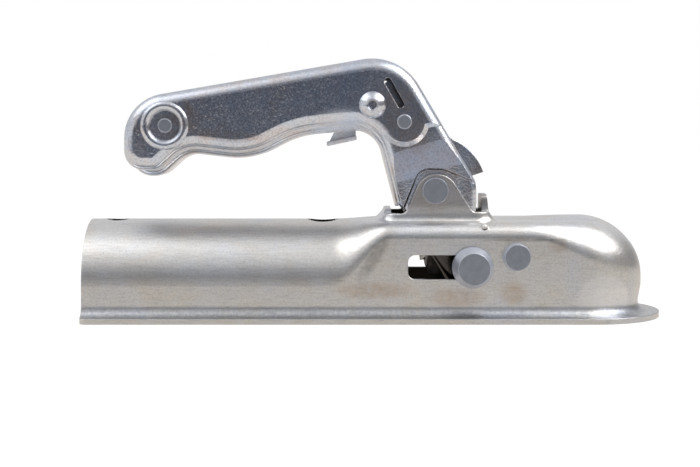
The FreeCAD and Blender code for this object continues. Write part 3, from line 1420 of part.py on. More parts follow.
os.makedirs("parts", exist_ok=True)
for part in made:
    part.Shape.exportStep(f"parts/{part.Label}.step")
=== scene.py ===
import bpy
import json
import math
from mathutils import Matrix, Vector

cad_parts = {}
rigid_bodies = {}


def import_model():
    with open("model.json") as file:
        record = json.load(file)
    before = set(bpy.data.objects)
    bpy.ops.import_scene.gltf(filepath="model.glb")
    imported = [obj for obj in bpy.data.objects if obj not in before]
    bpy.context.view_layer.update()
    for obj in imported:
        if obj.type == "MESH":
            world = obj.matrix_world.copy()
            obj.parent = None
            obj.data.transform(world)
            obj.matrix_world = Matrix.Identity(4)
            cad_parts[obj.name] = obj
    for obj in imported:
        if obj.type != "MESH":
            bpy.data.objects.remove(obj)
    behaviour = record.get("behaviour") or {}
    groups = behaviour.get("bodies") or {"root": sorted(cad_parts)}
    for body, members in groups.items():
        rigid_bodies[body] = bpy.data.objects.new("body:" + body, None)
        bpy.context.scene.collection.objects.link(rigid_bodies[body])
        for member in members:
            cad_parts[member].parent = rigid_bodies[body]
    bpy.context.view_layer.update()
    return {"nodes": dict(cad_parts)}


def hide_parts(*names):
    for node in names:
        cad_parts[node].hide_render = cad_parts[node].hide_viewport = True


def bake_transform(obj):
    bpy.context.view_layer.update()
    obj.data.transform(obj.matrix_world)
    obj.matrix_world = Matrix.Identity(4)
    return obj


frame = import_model()
cad_nodes = frame["nodes"]

MM = 0.001

# Settings that many nodes share
SMOOTH = {"interpolation_type": "SMOOTHSTEP"}
BLEND = {"data_type": "RGBA"}
MULTIPLY = {"data_type": "RGBA", "blend_type": "MULTIPLY"}

# Marks in the side view, soft ovals in mm from the ball's centre: middle x and z, half sizes, turn in degrees
WARM_BLOTCHES = ((-32.4, -4.7, 7.0, 6.0), (-93.0, -3.5, 19.0, 4.5), (-58.0, -6.5, 14.0, 5.0),
                 (-13.0, 16.0, 5.0, 4.0))
SHOULDER_DARK_LINES = ((-28.0, 18.6, 22.0, 0.8), (-93.5, 10.8, 14.0, 3.4, 57.0))
# Painted reflection, a lighter patch low on the nose
NOSE_REFLECTION = (7.0, -9.0, 15.5, 16.1)
KNUCKLE_HAZE = ((-81.0, 73.0, 19.0, 20.0),)
GRIP_HAZE = ((-181.0, 68.0, 10.0, 10.0), (-175.0, 73.0, 3.0, 11.0, 10.0), (-155.0, 63.0, 24.0, 4.0, -4.0),
             (-125.0, 66.0, 24.0, 4.5, 17.0))
FORK_HAZE = ((-50.0, 40.0, 6.0, 9.0), (-84.0, 36.0, 6.0, 9.0), (-42.0, 47.0, 9.0, 12.0))
# Oval of the painted shade on the limb's slope
LIMB_SLOPE = (-68.0, 52.0, 34.0, 30.0)
LIMB_BLOOM = (-68.0, 52.0, 24.0, 22.0)
FINGER_PIECE = (-107.0, 64.0, 16.0, 12.0)

# Heights in mm over the ball's centre where a finish or a painted shade starts to change and where it has
# changed
# The root and the lip bound the band of painted shade in the root above the flange
ROOT_HEIGHTS = (-10.5, -13.0)
LIP_HEIGHTS = (-15.4, -14.6)
EAR_HEIGHTS = (30.0, 34.0)
# Painted shade on the fork feet inside the head, from where it starts to where it is full
FORK_SHADE_HEIGHTS = (24.0, 19.0)

# The line in mm under the ball's centre that the shaded inside faces, and how far past it counts as inside
INSIDE_DEPTH = 30.0
INSIDE_MARGIN = 3.0
# Half width in metres of an oval across the part, far more than its width
ENDLESS = 100.0
FLANK_METAL = 0.7


# Materials

def colour(code):
    """An sRGB hex colour as linear values."""
    channels = [int(code[i:i + 2], 16) / 255.0 for i in (1, 3, 5)]
    linear = [c / 12.92 if c <= 0.04045 else ((c + 0.055) / 1.055) ** 2.4 for c in channels]
    return (*linear, 1.0)


def new_material(name):
    """An empty node material with its output; returns the material and its node tree."""
    material = bpy.data.materials.new(name)
    material.use_nodes = True
    material.node_tree.nodes.clear()
    return material, material.node_tree


def add(tree, kind, settings=None, inputs=None, links=None):
    """Adds one node with its settings, input values and links; "stops" fills a colour ramp."""
    made = tree.nodes.new(kind)
    for name, value in (settings or {}).items():
        if name == "stops":
            elements = made.color_ramp.elements
            while len(elements) < len(value):
                elements.new(0.5)
            for element, (position, shade) in zip(elements, value):
                element.position = position
                element.color = colour(shade)
        else:
            setattr(made, name, value)
    for name, value in (inputs or {}).items():
        made.inputs[name].default_value = value
    for name, source in (links or {}).items():
        tree.links.new(source, made.inputs[name])
    return made


def noise(size_mm, detail=3.0, roughness=0.55, distortion=0.0):
    """Input values of a noise texture whose blotches are about size_mm across."""
    return {"Scale": 1.0 / (size_mm * MM), "Detail": detail, "Roughness": roughness, "Distortion": distortion}


def patch(tree, place, x, z, half_x, half_z, turn=0.0):
    """Mask of a soft oval that runs through the part, 1 in its middle and 0 outside."""
    oval = add(tree, "ShaderNodeMapping", {"vector_type": "TEXTURE"},
               {"Location": (x * MM, 0.0, z * MM), "Rotation": (0.0, -math.radians(turn), 0.0),
                "Scale": (half_x * MM, ENDLESS, half_z * MM)}, {"Vector": place})
    far = add(tree, "ShaderNodeVectorMath", {"operation": "LENGTH"}, links={0: oval.outputs[0]})
    return add(tree, "ShaderNodeMapRange", SMOOTH, {"From Min": 1.15, "From Max": 0.35},
               {"Value": far.outputs["Value"]}).outputs["Result"]


def together(tree, masks):
    """The greatest of several masks at each place."""
    joined = masks[0]
    for mask in masks[1:]:
        joined = add(tree, "ShaderNodeMath", {"operation": "MAXIMUM"}, links={0: joined, 1: mask}).outputs[0]
    return joined


def patches(tree, place, ovals):
    """The greatest of several soft ovals' masks."""
    return together(tree, [patch(tree, place, *oval) for oval in ovals])


def broken(tree, mask, texture, low, high):
    """A mask broken up by a noise texture, gone where that is under low and whole where it is over high."""
    ragged = add(tree, "ShaderNodeMapRange", inputs={"From Min": low, "From Max": high},
                 links={"Value": texture.outputs["Fac"]})
    return add(tree, "ShaderNodeMath", {"operation": "MULTIPLY"},
               links={0: mask, 1: ragged.outputs["Result"]}).outputs[0]


def drawn_sheet():
    """Zinc plate over deep-drawn sheet: grey with warm clouds, streaks along the draw and a fine grain."""
    material, tree = new_material("zinc_plated_drawn_sheet")
    place = add(tree, "ShaderNodeTexCoord").outputs["Object"]
    facing = add(tree, "ShaderNodeNewGeometry").outputs["Normal"]
    where = add(tree, "ShaderNodeSeparateXYZ", links={"Vector": place})
    # Coordinates squeezed in one direction stretch the streaks and the upright rubs
    along = add(tree, "ShaderNodeMapping", inputs={"Scale": (0.10, 1.0, 1.0)}, links={"Vector": place})
    upright = add(tree, "ShaderNodeMapping", inputs={"Scale": (1.0, 1.0, 0.12)}, links={"Vector": place})
    clouds = add(tree, "ShaderNodeTexNoise", inputs=noise(22.0, 5.0, 0.6, 0.3), links={"Vector": place})
    # Streaks, rubs and grain of the drawn surface, about twice as coarse as the real ones so that they show
    streaks = add(tree, "ShaderNodeTexNoise", inputs=noise(0.8, 3.0, 0.6), links={"Vector": along.outputs[0]})
    rubs = add(tree, "ShaderNodeTexNoise", inputs=noise(1.3, 3.0, 0.6), links={"Vector": upright.outputs[0]})
    grain = add(tree, "ShaderNodeTexNoise", inputs=noise(0.75, 3.0, 0.7), links={"Vector": place})
    ragged = add(tree, "ShaderNodeTexNoise", inputs=noise(3.0, 4.0, 0.7), links={"Vector": place})

    cloudy = {"stops": [(0.36, "#e0e1e4"), (0.5, "#e1e0de"), (0.64, "#e1ddd7")]}
    tint = add(tree, "ShaderNodeValToRGB", cloudy, links={"Fac": clouds.outputs["Fac"]}).outputs["Color"]
    streaky = {"stops": [(0.30, "#cfcfd0"), (0.50, "#f2f2f2"), (0.75, "#ffffff")]}
    grainy = {"stops": [(0.30, "#b4b4b6"), (0.50, "#eeeeee"), (0.70, "#ffffff")]}
    for texture, shades, amount in ((streaks, streaky, 0.45), (grain, grainy, 0.40)):
        worn = add(tree, "ShaderNodeValToRGB", shades, links={"Fac": texture.outputs["Fac"]})
        tint = add(tree, "ShaderNodeMix", MULTIPLY, {"Factor": amount},
                   {"A": tint, "B": worn.outputs["Color"]}).outputs["Result"]

    # Warm blotches, dark lines at the shoulder's edges, painted bluish shade in the root, ears darker from 30
    # mm up
    blotches = broken(tree, patches(tree, place, WARM_BLOTCHES), ragged, 0.10, 0.62)
    dark_lines = broken(tree, patches(tree, place, SHOULDER_DARK_LINES), ragged, 0.15, 0.85)
    low, lip, ears = [add(tree, "ShaderNodeMapRange", SMOOTH, {"From Min": start * MM, "From Max": full * MM},
                          {"Value": where.outputs["Z"]}).outputs["Result"]
                      for start, full in (ROOT_HEIGHTS, LIP_HEIGHTS, EAR_HEIGHTS)]
    # Painted shade: the band in the root just above the flange, darkened bluish and broken up by the rubs
    root_shade_band = add(tree, "ShaderNodeMath", {"operation": "MULTIPLY"}, links={0: low, 1: lip}).outputs[0]
    root = broken(tree, root_shade_band, rubs, -0.10, 0.62)
    for mask, amount, code in ((blotches, 0.5, "#d8bca0"), (dark_lines, 0.75, "#62605e"), (root, 0.62, "#848c99"),
                               (ears, 0.55, "#a39a9a")):
        part = add(tree, "ShaderNodeMath", {"operation": "MULTIPLY"}, {1: amount}, {0: mask})
        tint = add(tree, "ShaderNodeMix", MULTIPLY, {"B": colour(code)},
                   {"Factor": part.outputs[0], "A": tint}).outputs["Result"]

    # Painted reflection: a lighter patch low on the nose, above the root and on the near side only
    reflected = add(tree, "ShaderNodeMapRange", inputs={"From Min": 0.34, "From Max": 0.60, "To Max": 0.34},
                 links={"Value": patch(tree, place, *NOSE_REFLECTION)})
    clear = add(tree, "ShaderNodeMath", {"operation": "SUBTRACT", "use_clamp": True},
                links={0: reflected.outputs["Result"], 1: low})
    near_side = add(tree, "ShaderNodeMath", {"operation": "LESS_THAN"}, {1: 0.0}, {0: where.outputs["Y"]})
    painted_reflection = add(tree, "ShaderNodeMath", {"operation": "MULTIPLY"},
                links={0: clear.outputs[0], 1: near_side.outputs[0]}).outputs[0]
    tint = add(tree, "ShaderNodeMix", BLEND, {"B": colour("#f6f6f8")},
               {"Factor": painted_reflection, "A": tint}).outputs["Result"]

    # Inside of the shell, where the normal points back to the core: painted shade, a near-black dull grey, so
    # the slot looks black
    ahead = add(tree, "ShaderNodeMath", {"operation": "MAXIMUM"}, {1: 0.0}, {0: where.outputs["X"]})
    above = add(tree, "ShaderNodeMath", {"operation": "ADD"}, {1: INSIDE_DEPTH * MM}, {0: where.outputs["Z"]})
    spoke = add(tree, "ShaderNodeCombineXYZ",
                links={"X": ahead.outputs[0], "Y": where.outputs["Y"], "Z": above.outputs[0]})
    outward = add(tree, "ShaderNodeVectorMath", {"operation": "DOT_PRODUCT"},
                  links={0: spoke.outputs[0], 1: facing})
    shaded_inside = add(tree, "ShaderNodeMath", {"operation": "LESS_THAN"}, {1: -INSIDE_MARGIN * MM},
                 {0: outward.outputs["Value"]}).outputs[0]
    base = add(tree, "ShaderNodeMix", BLEND, {"B": colour("#2b2824")},
               {"Factor": shaded_inside, "A": tint}).outputs["Result"]
    rough = add(tree, "ShaderNodeMapRange",
                inputs={"From Min": 0.3, "From Max": 0.7, "To Min": 0.35, "To Max": 0.29},
                links={"Value": clouds.outputs["Fac"]})
    rough = add(tree, "ShaderNodeMix", {"data_type": "FLOAT"}, {"B": 0.65},
                {"Factor": shaded_inside, "A": rough.outputs["Result"]}).outputs["Result"]
    rounded = add(tree, "ShaderNodeBevel", {"samples": 4}, {"Radius": 0.8 * MM}).outputs["Normal"]
    for texture, strength, depth in ((streaks, 0.05, 0.20), (rubs, 0.03, 0.30), (grain, 0.34, 0.25)):
        rounded = add(tree, "ShaderNodeBump", inputs={"Strength": strength, "Distance": depth * MM},
                      links={"Height": texture.outputs["Fac"], "Normal": rounded}).outputs["Normal"]
    shader = add(tree, "ShaderNodeBsdfPrincipled", inputs={"Metallic": 1.0},
                 links={"Base Color": base, "Roughness": rough, "Normal": rounded})
    add(tree, "ShaderNodeOutputMaterial", links={"Surface": shader.outputs["BSDF"]})
    return material


def bright_plate():
    """Bright zinc plate over a stamped handle: cool and glossy, with brown haze, pale bloom and specks."""
    material, tree = new_material("bright_zinc_plate")
    # The piece's own coordinates and normals, so every mark stays with it when the handle turns
    own = add(tree, "ShaderNodeTexCoord")
    place = own.outputs["Object"]
    height = add(tree, "ShaderNodeSeparateXYZ", links={"Vector": place}).outputs["Z"]
    facing = add(tree, "ShaderNodeSeparateXYZ", links={"Vector": own.outputs["Normal"]})
    upward = facing.outputs["Z"]
    clouds = add(tree, "ShaderNodeTexNoise", inputs=noise(14.0, 5.0, 0.65, 0.3), links={"Vector": place})
    mottle = add(tree, "ShaderNodeTexNoise", inputs=noise(3.5, 4.0, 0.7), links={"Vector": place})
    # Specks of white bloom, drawn twice as coarse as the real ones so that they show
    specks = add(tree, "ShaderNodeTexNoise", inputs=noise(0.9, 2.0, 0.7), links={"Vector": place})
    cloudy = {"stops": [(0.38, "#d4dbe7"), (0.52, "#dcdee4"), (0.66, "#dad4d4")]}
    tint = add(tree, "ShaderNodeValToRGB", cloudy, links={"Fac": clouds.outputs["Fac"]}).outputs["Color"]

    # Brown chromate haze on the flat sides
    level = add(tree, "ShaderNodeMath", {"operation": "ABSOLUTE"}, links={0: facing.outputs["Y"]})
    flats = add(tree, "ShaderNodeMapRange", inputs={"From Min": 0.93, "From Max": 0.995},
                links={"Value": level.outputs[0]}).outputs["Result"]
    stained = patches(tree, place, KNUCKLE_HAZE + GRIP_HAZE + FORK_HAZE)
    stained = add(tree, "ShaderNodeMath", {"operation": "MULTIPLY"}, links={0: stained, 1: flats}).outputs[0]
    haze = broken(tree, stained, mottle, 0.15, 0.65)

    # Painted shade: a darker bluish tint on the limb's slope, on flats that lean a little downward
    leaning = add(tree, "ShaderNodeMapRange", SMOOTH, {"From Min": -0.02, "From Max": -0.07},
                  {"Value": upward}).outputs["Result"]
    slope = add(tree, "ShaderNodeMath", {"operation": "MULTIPLY"}, links={0: leaning, 1: flats}).outputs[0]
    limb = add(tree, "ShaderNodeMath", {"operation": "MULTIPLY"},
               links={0: slope, 1: patch(tree, place, *LIMB_SLOPE)}).outputs[0]

    # Painted shade where the top's radius faces up and on the fork feet inside the head; fine dark grain all
    # over
    top_shade = add(tree, "ShaderNodeMapRange", SMOOTH, {"From Min": 0.05, "From Max": 0.30, "To Max": 0.22},
                {"Value": upward}).outputs["Result"]
    # Painted shade on the fork feet inside the head
    start, full = FORK_SHADE_HEIGHTS
    sunk = add(tree, "ShaderNodeMapRange", SMOOTH, {"From Min": start * MM, "From Max": full * MM},
               {"Value": height}).outputs["Result"]
    for mask, code in ((haze, "#d2c6be"), (limb, "#bcc2d0"), (top_shade, "#808890"), (sunk, "#5a5652")):
        tint = add(tree, "ShaderNodeMix", MULTIPLY, {"B": colour(code)},
                   {"Factor": mask, "A": tint}).outputs["Result"]
    grainy = {"stops": [(0.32, "#8c8e94"), (0.50, "#e6e6e8"), (0.66, "#ffffff")]}
    speckle = add(tree, "ShaderNodeValToRGB", grainy, links={"Fac": specks.outputs["Fac"]})
    tint = add(tree, "ShaderNodeMix", MULTIPLY, {"Factor": 0.34},
               {"A": tint, "B": speckle.outputs["Color"]}).outputs["Result"]

    # Pale bloom scatters light, so it looks lighter than the dark room that the plate mirrors
    dust = add(tree, "ShaderNodeMapRange", inputs={"From Min": 0.55, "From Max": 0.72, "To Max": 0.34},
               links={"Value": specks.outputs["Fac"]}).outputs["Result"]
    crowded = add(tree, "ShaderNodeMapRange", inputs={"From Min": 0.42, "From Max": 0.62, "To Min": 0.35},
                  links={"Value": clouds.outputs["Fac"]}).outputs["Result"]
    dust = add(tree, "ShaderNodeMath", {"operation": "MULTIPLY"}, links={0: dust, 1: crowded}).outputs[0]
    bloom = broken(tree, patch(tree, place, *LIMB_BLOOM), mottle, 0.10, 0.60)
    pale = [dust]
    for mask, amount in ((bloom, 0.12), (patch(tree, place, *FINGER_PIECE), 0.95), (haze, 0.10)):
        pale.append(add(tree, "ShaderNodeMath", {"operation": "MULTIPLY"}, {1: amount}, {0: mask}).outputs[0])
    metal = add(tree, "ShaderNodeMath", {"operation": "SUBTRACT"}, {0: 1.0},
                {1: together(tree, pale)}).outputs[0]
    rolled = add(tree, "ShaderNodeMapRange", SMOOTH,
                 {"From Min": 0.05, "From Max": 0.45, "To Min": 0.10, "To Max": 0.30}, {"Value": upward})
    uneven = add(tree, "ShaderNodeMath", {"operation": "MULTIPLY_ADD"}, {1: 0.08},
                 {0: mottle.outputs["Fac"], 2: rolled.outputs["Result"]}).outputs[0]
    rounded = add(tree, "ShaderNodeBevel", {"samples": 4}, {"Radius": 0.4 * MM}).outputs["Normal"]
    for texture, strength, depth in ((mottle, 0.05, 0.6), (specks, 0.22, 0.22)):
        rounded = add(tree, "ShaderNodeBump", inputs={"Strength": strength, "Distance": depth * MM},
                      links={"Height": texture.outputs["Fac"], "Normal": rounded}).outputs["Normal"]
    shader = add(tree, "ShaderNodeBsdfPrincipled",
                 links={"Base Color": tint, "Metallic": metal, "Roughness": uneven, "Normal": rounded})
    add(tree, "ShaderNodeOutputMaterial", links={"Surface": shader.outputs["BSDF"]})
    return material


def bar_steel(name, light, dark, flank, metal, roughness, size_mm, bump):
    """Machined or forged bar: end faces of two greys in small clouds, flanks and rims in their own grey."""
    material, tree = new_material(name)
    place = add(tree, "ShaderNodeTexCoord").outputs["Object"]
    clouds = add(tree, "ShaderNodeTexNoise", inputs=noise(size_mm, 5.0, 0.65), links={"Vector": place})
    # Tool marks, about twice as coarse as the real ones so that they show
    tooth = add(tree, "ShaderNodeTexNoise", inputs=noise(0.8, 3.0, 0.6), links={"Vector": place})
    rim = add(tree, "ShaderNodeBevel", {"samples": 4}, {"Radius": 0.6 * MM}).outputs["Normal"]
    across = add(tree, "ShaderNodeSeparateXYZ", links={"Vector": rim}).outputs["Y"]
    square = add(tree, "ShaderNodeMath", {"operation": "ABSOLUTE"}, links={0: across})
    flanks_and_rims = add(tree, "ShaderNodeMapRange", inputs={"From Min": 0.99, "From Max": 0.93},
                 links={"Value": square.outputs[0]}).outputs["Result"]
    tint = add(tree, "ShaderNodeValToRGB", {"stops": [(0.35, dark), (0.65, light)]},
               links={"Fac": clouds.outputs["Fac"]}).outputs["Color"]
    # Flanks and rims in their own grey; the pale one of the pin and rivets is a painted highlight
    tint = add(tree, "ShaderNodeMix", BLEND, {"B": colour(flank)},
               {"Factor": flanks_and_rims, "A": tint}).outputs["Result"]
    rough = add(tree, "ShaderNodeMapRange", inputs={"From Min": 0.3, "From Max": 0.7,
                                                    "To Min": roughness + 0.06, "To Max": roughness - 0.06},
                links={"Value": clouds.outputs["Fac"]})
    relief = add(tree, "ShaderNodeBump", inputs={"Strength": bump, "Distance": 0.2 * MM},
                 links={"Height": tooth.outputs["Fac"], "Normal": rim})
    shader = add(tree, "ShaderNodeBsdfPrincipled", inputs={"Metallic": metal},
                 links={"Base Color": tint, "Roughness": rough.outputs["Result"],
                        "Normal": relief.outputs["Normal"]})
    if metal < FLANK_METAL:
        # Dull end faces, brighter flanks
        shine = add(tree, "ShaderNodeMapRange", inputs={"To Min": metal, "To Max": FLANK_METAL},
                    links={"Value": flanks_and_rims})
        tree.links.new(shine.outputs["Result"], shader.inputs["Metallic"])
    add(tree, "ShaderNodeOutputMaterial", links={"Surface": shader.outputs["BSDF"]})
    return material


satin_zinc = drawn_sheet()
bright_zinc = bright_plate()
# Zinc-plated bar of the pin and rivets: even mid grey with a soft sheen, and a painted highlight in the paler
# flank grey
rivet_steel = bar_steel("zinc_plated_bar", light="#878b93", dark="#7c8087", flank="#c6cbd6",
                        metal=0.5, roughness=0.36, size_mm=3.0, bump=0.12)
# Cold-drawn tube of the sleeves, left bare: a dull warm grey
plain_steel = bar_steel("cold_drawn_tube", light="#7c7a76", dark="#504e4a", flank="#64625e",
                        metal=1.0, roughness=0.36, size_mm=3.0, bump=0.10)
# Drop-forged steel of the jaw and the block: scaled, dark and rough
forged_steel = bar_steel("drop_forged_steel", light="#4a4642", dark="#1e1c1a", flank="#34302c",
                         metal=1.0, roughness=0.42, size_mm=2.5, bump=0.60)
# Drawn spring wire: smooth and oiled, a pale grey that mirrors the dark round it
spring_steel = bar_steel("spring_wire", light="#ccc9c2", dark="#94918a", flank="#b4b2ac",
                         metal=1.0, roughness=0.26, size_mm=2.0, bump=0.05)

FINISHES = {
    "housing_shell": satin_zinc,
    "handle_shell": bright_zinc,
    "handle_liner": bright_zinc,
    "catch_lever": bright_zinc,
    "catch_rivet": bright_zinc,
    "jaw_rivet": rivet_steel,
    "handle_axle": rivet_steel,
    "slot_pin": rivet_steel,
    "slot_pin_collar": rivet_steel,
    "end_rivet": rivet_steel,
    "stop_rivet": rivet_steel,
    "jaw_spacer_near": plain_steel,
    "jaw_spacer_far": plain_steel,
    "pin_spacer_near": plain_steel,
    "pin_spacer_far": plain_steel,
    "axle_sleeve": plain_steel,
    "pressure_block": forged_steel,
    "ball_jaw": forged_steel,
    "closing_spring": spring_steel,
    "catch_spring": spring_steel,
}
for name, material in FINISHES.items():
    cad_nodes[name].data.materials.clear()
    cad_nodes[name].data.materials.append(material)


# Springs of round wire in place of the faceted ones

WIRE_SIDES = 16
COIL_STEP_DEG = 9.0
BEND_STEPS = 6
SHARP_EDGE_DEG = 50.0
# Share of the wire's radius within which a ring's points are picked
RING_REACH = 1.05


def deselect():
    """Nothing is selected or active."""
    for item in bpy.context.view_layer.objects:
        item.select_set(False)
    bpy.context.view_layer.objects.active = None


def side(angle):
    """Unit vector in the side view at an angle in degrees above forward."""
    return Vector((math.cos(math.radians(angle)), 0.0, math.sin(math.radians(angle))))


def pick_near(piece, point, reach):
    """In edit mode, selects only the points within reach of a place."""
    bpy.ops.mesh.select_mode(type="VERT")
    bpy.ops.mesh.select_all(action="DESELECT")
    bpy.ops.object.mode_set(mode="OBJECT")
    for vertex in piece.data.vertices:
        vertex.select = (vertex.co - point).length < reach
    bpy.ops.object.mode_set(mode="EDIT")


def draw_out(travel):
    """Extrudes the picked ring of points."""
    bpy.ops.mesh.extrude_region_move(TRANSFORM_OT_translate={"value": travel})


def wound_wire(name, centre, coil, wire, pitch, first, wound, legs, hook):
    """Torsion spring: a coil across the head with a straight leg at each end, the first leg with a hook.

    coil and wire are radii; first is the angle where the coil starts and wound the degrees that it winds.
    """
    deselect()
    bpy.ops.mesh.primitive_circle_add(vertices=WIRE_SIDES, radius=wire, location=(0, 0, 0))
    made = bpy.context.object
    made.name = name
    bpy.ops.object.mode_set(mode="EDIT")
    bpy.ops.transform.rotate(value=math.radians(first), orient_axis="Y", center_override=(0, 0, 0))
    bpy.ops.transform.translate(value=side(first) * coil)
    bpy.ops.object.mode_set(mode="OBJECT")
    turns = made.modifiers.new("turns", "SCREW")
    turns.axis = "Y"
    turns.angle = math.radians(wound)
    turns.screw_offset = pitch * wound / 360.0
    turns.steps = turns.render_steps = round(wound / COIL_STEP_DEG)
    bpy.ops.object.modifier_apply(modifier="turns")
    bpy.ops.object.mode_set(mode="EDIT")

    away = side(first + 90.0)
    near = Vector((0.0, -1.0, 0.0))
    bend = 2.0 * wire
    pick_near(made, side(first) * coil, RING_REACH * wire)
    draw_out(away * (legs[0] - bend))
    corner = side(first) * coil + away * (legs[0] - bend) + near * bend
    bpy.ops.mesh.spin(steps=BEND_STEPS, angle=math.radians(90.0), center=corner, axis=away.cross(near))
    draw_out(near * (hook - bend))
    bpy.ops.mesh.edge_face_add()

    last = first - wound
    end = side(last) * coil + Vector((0.0, pitch * wound / 360.0, 0.0))
    pick_near(made, end, RING_REACH * wire)
    draw_out(side(last - 90.0) * legs[1])
    bpy.ops.mesh.edge_face_add()
    bpy.ops.mesh.select_all(action="SELECT")
    bpy.ops.mesh.normals_make_consistent(inside=False)
    bpy.ops.transform.translate(value=centre)
    bpy.ops.object.mode_set(mode="OBJECT")
    bpy.ops.object.shade_smooth_by_angle(angle=math.radians(SHARP_EDGE_DEG))
    made.data.materials.append(spring_steel)
    return made


# On the handle axle, with one leg on the handle and the hooked one down behind the slot
closing_wire = wound_wire("closing_spring_wire", centre=Vector((-66.3, -10.5, 39.65)) * MM, coil=8.35 * MM,
                          wire=1.25 * MM, pitch=2.8 * MM, first=186.0, wound=972.7,
                          legs=(33.0 * MM, 29.5 * MM), hook=5.5 * MM)
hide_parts("closing_spring")
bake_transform(closing_wire)

# On the catch's hub, from the catch to the flush rivet, which its straight leg touches from outside
HUB = Vector((-94.0, 3.0, 77.4)) * MM
STOP = Vector((-79.95, 3.0, 70.0)) * MM
CATCH_COIL = 6.35 * MM
RIVET_REACH = 3.85 * MM
CATCH_START_DEG = 126.0
apart = (STOP - HUB).length
towards = math.degrees(math.atan2((STOP - HUB).z, (STOP - HUB).x))
end_angle = towards + math.degrees(math.acos((CATCH_COIL - RIVET_REACH) / apart))
touching = math.sqrt(apart ** 2 - (CATCH_COIL - RIVET_REACH) ** 2)
catch_wire = wound_wire("catch_spring_wire", centre=HUB, coil=CATCH_COIL, wire=0.6 * MM, pitch=1.5 * MM,
                        first=CATCH_START_DEG, wound=CATCH_START_DEG - end_angle + 720.0,
                        legs=(8.0 * MM, touching + 2.5 * MM), hook=4.5 * MM)
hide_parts("catch_spring")
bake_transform(catch_wire)


# Floor, light and camera

# Greys that the metal mirrors. Table, from 0.9 m before the part to its middle; the paper shades off there
TABLE_SHADES = [(0.0, "#6c7079"), (0.12, "#7d7f84"), (0.26, "#d4d2d0"), (0.72, "#f4f0ec"), (0.95, "#ebe4dc")]
# Room, from the horizon to straight up: behind the photographer, all round, and ahead of the nose
FRONT_SHADES = [(0.0, "#565a64"), (0.12, "#646873"), (0.28, "#888b93"), (0.42, "#989ba2"), (0.57, "#b0b2b7"),
                (0.7, "#c4c5c8"), (1.0, "#e0e0e2")]
ROUND_SHADES = [(0.0, "#dedee0"), (0.50, "#e6e6e8"), (0.85, "#e4e4e6")]
NOSE_SHADES = [(0.0, "#8c8c8e"), (0.45, "#a8a8aa"), (0.8, "#e4e4e6")]
TABLE_SIZE = 8.0
TABLE_HEIGHT = -0.0175

# Table: white to the camera with the part's faint shadow, shaded to the metal
deselect()
bpy.ops.mesh.primitive_plane_add(size=TABLE_SIZE, location=(-0.09, 0.0, TABLE_HEIGHT))
table = bpy.context.object
table.name = "table"
paper, tree = new_material("white_paper")
rays = add(tree, "ShaderNodeLightPath")
place = add(tree, "ShaderNodeTexCoord").outputs["Object"]
split = add(tree, "ShaderNodeSeparateXYZ", links={"Vector": place})
depth = add(tree, "ShaderNodeMapRange", inputs={"From Min": -0.90, "From Max": 0.0},
            links={"Value": split.outputs["Y"]})
mirrored = add(tree, "ShaderNodeValToRGB", {"stops": TABLE_SHADES}, links={"Fac": depth.outputs["Result"]})
matt = add(tree, "ShaderNodeBsdfDiffuse", inputs={"Color": colour("#e6e6e6")})
image = add(tree, "ShaderNodeEmission", links={"Color": mirrored.outputs["Color"]})
seen = add(tree, "ShaderNodeEmission", inputs={"Color": colour("#ffffff"), "Strength": 1.1})
lit = add(tree, "ShaderNodeMixShader", inputs={"Fac": 0.85}, links={1: matt.outputs[0], 2: seen.outputs[0]})
glossy = add(tree, "ShaderNodeMixShader", links={"Fac": rays.outputs["Is Glossy Ray"], 1: matt.outputs[0],
                                                 2: image.outputs[0]})
shown = add(tree, "ShaderNodeMixShader", links={"Fac": rays.outputs["Is Camera Ray"], 1: glossy.outputs[0],
                                                2: lit.outputs[0]})
add(tree, "ShaderNodeOutputMaterial", links={"Surface": shown.outputs[0]})
table.data.materials.append(paper)

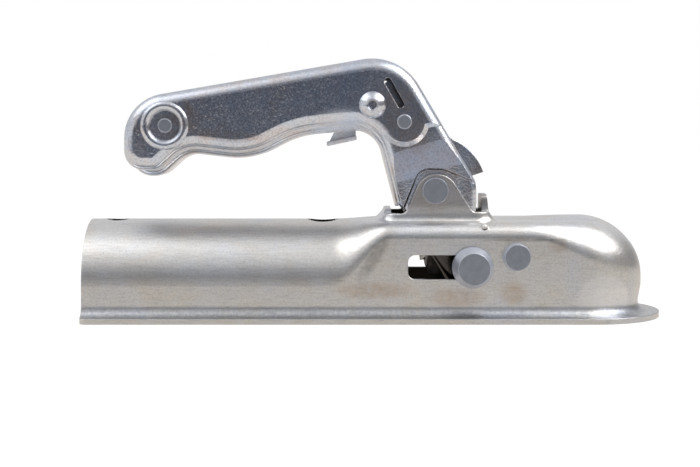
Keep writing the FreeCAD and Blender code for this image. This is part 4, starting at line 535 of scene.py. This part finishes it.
# Room: dark behind the photographer, pale at the sides and behind the part
world = bpy.data.worlds.new("studio")
bpy.context.scene.world = world
world.use_nodes = True
tree = world.node_tree
tree.nodes.clear()
rays = add(tree, "ShaderNodeLightPath")
way = add(tree, "ShaderNodeTexCoord").outputs["Generated"]
split = add(tree, "ShaderNodeSeparateXYZ", links={"Vector": way})
front, sides, nose_side = [add(tree, "ShaderNodeValToRGB", {"stops": shades},
                               links={"Fac": split.outputs["Z"]}).outputs["Color"]
                           for shades in (FRONT_SHADES, ROUND_SHADES, NOSE_SHADES)]
before = add(tree, "ShaderNodeMapRange", SMOOTH, {"From Min": -0.70, "From Max": -0.94},
             {"Value": split.outputs["Y"]})
beyond = add(tree, "ShaderNodeMapRange", SMOOTH, {"From Min": 0.40, "From Max": 0.80},
             {"Value": split.outputs["X"]})
around = add(tree, "ShaderNodeMix", BLEND,
             links={"Factor": beyond.outputs["Result"], "A": sides, "B": nose_side}).outputs["Result"]
room = add(tree, "ShaderNodeMix", BLEND,
           links={"Factor": before.outputs["Result"], "A": around, "B": front}).outputs["Result"]
lit = add(tree, "ShaderNodeBackground", links={"Color": room})
seen = add(tree, "ShaderNodeBackground", inputs={"Color": colour("#ffffff"), "Strength": 1.0})
mixed = add(tree, "ShaderNodeMixShader",
            links={"Fac": rays.outputs["Is Camera Ray"], 1: lit.outputs[0], 2: seen.outputs[0]})
add(tree, "ShaderNodeOutputWorld", links={"Surface": mixed.outputs[0]})


def soft_box(name, place, aim, size, power):
    """A rectangular studio lamp that faces a point."""
    lamp = bpy.data.lights.new(name, "AREA")
    lamp.shape = "RECTANGLE"
    lamp.size, lamp.size_y = size
    lamp.energy = power
    made = bpy.data.objects.new(name, lamp)
    made.location = place
    made.rotation_euler = (Vector(aim) - Vector(place)).to_track_quat("-Z", "Y").to_euler()
    bpy.context.scene.collection.objects.link(made)
    return made


centre = (-0.095, 0.0, 0.03)
soft_box("front_box", place=(-0.095, -0.60, 0.82), aim=centre, size=(1.8, 0.55), power=0.25)
soft_box("right_box", place=(0.56, -0.22, 0.78), aim=centre, size=(0.8, 0.7), power=7.0)
soft_box("left_box", place=(-0.72, -0.22, 0.78), aim=centre, size=(0.7, 0.7), power=2.6)

# Camera matched to the photograph: focal length in its pixels, a small tilt down and a shifted frame
FOCAL_PX = 1320.0
PHOTO_WIDTH_PX = 700.0
SENSOR_MM = 36.0
TILT_DOWN_DEG = 2.24
view = bpy.data.cameras.new("photo_camera")
view.sensor_width = SENSOR_MM
view.lens = FOCAL_PX / PHOTO_WIDTH_PX * SENSOR_MM
view.shift_y = -0.0741
camera = bpy.data.objects.new("photo_camera", view)
camera.location = (-0.1039, -0.600, 0.0664)
camera.rotation_euler = (math.radians(90.0 - TILT_DOWN_DEG), 0.0, 0.0)
bpy.context.scene.collection.objects.link(camera)
bpy.context.scene.camera = camera
bpy.context.scene.view_settings.view_transform = "Standard"
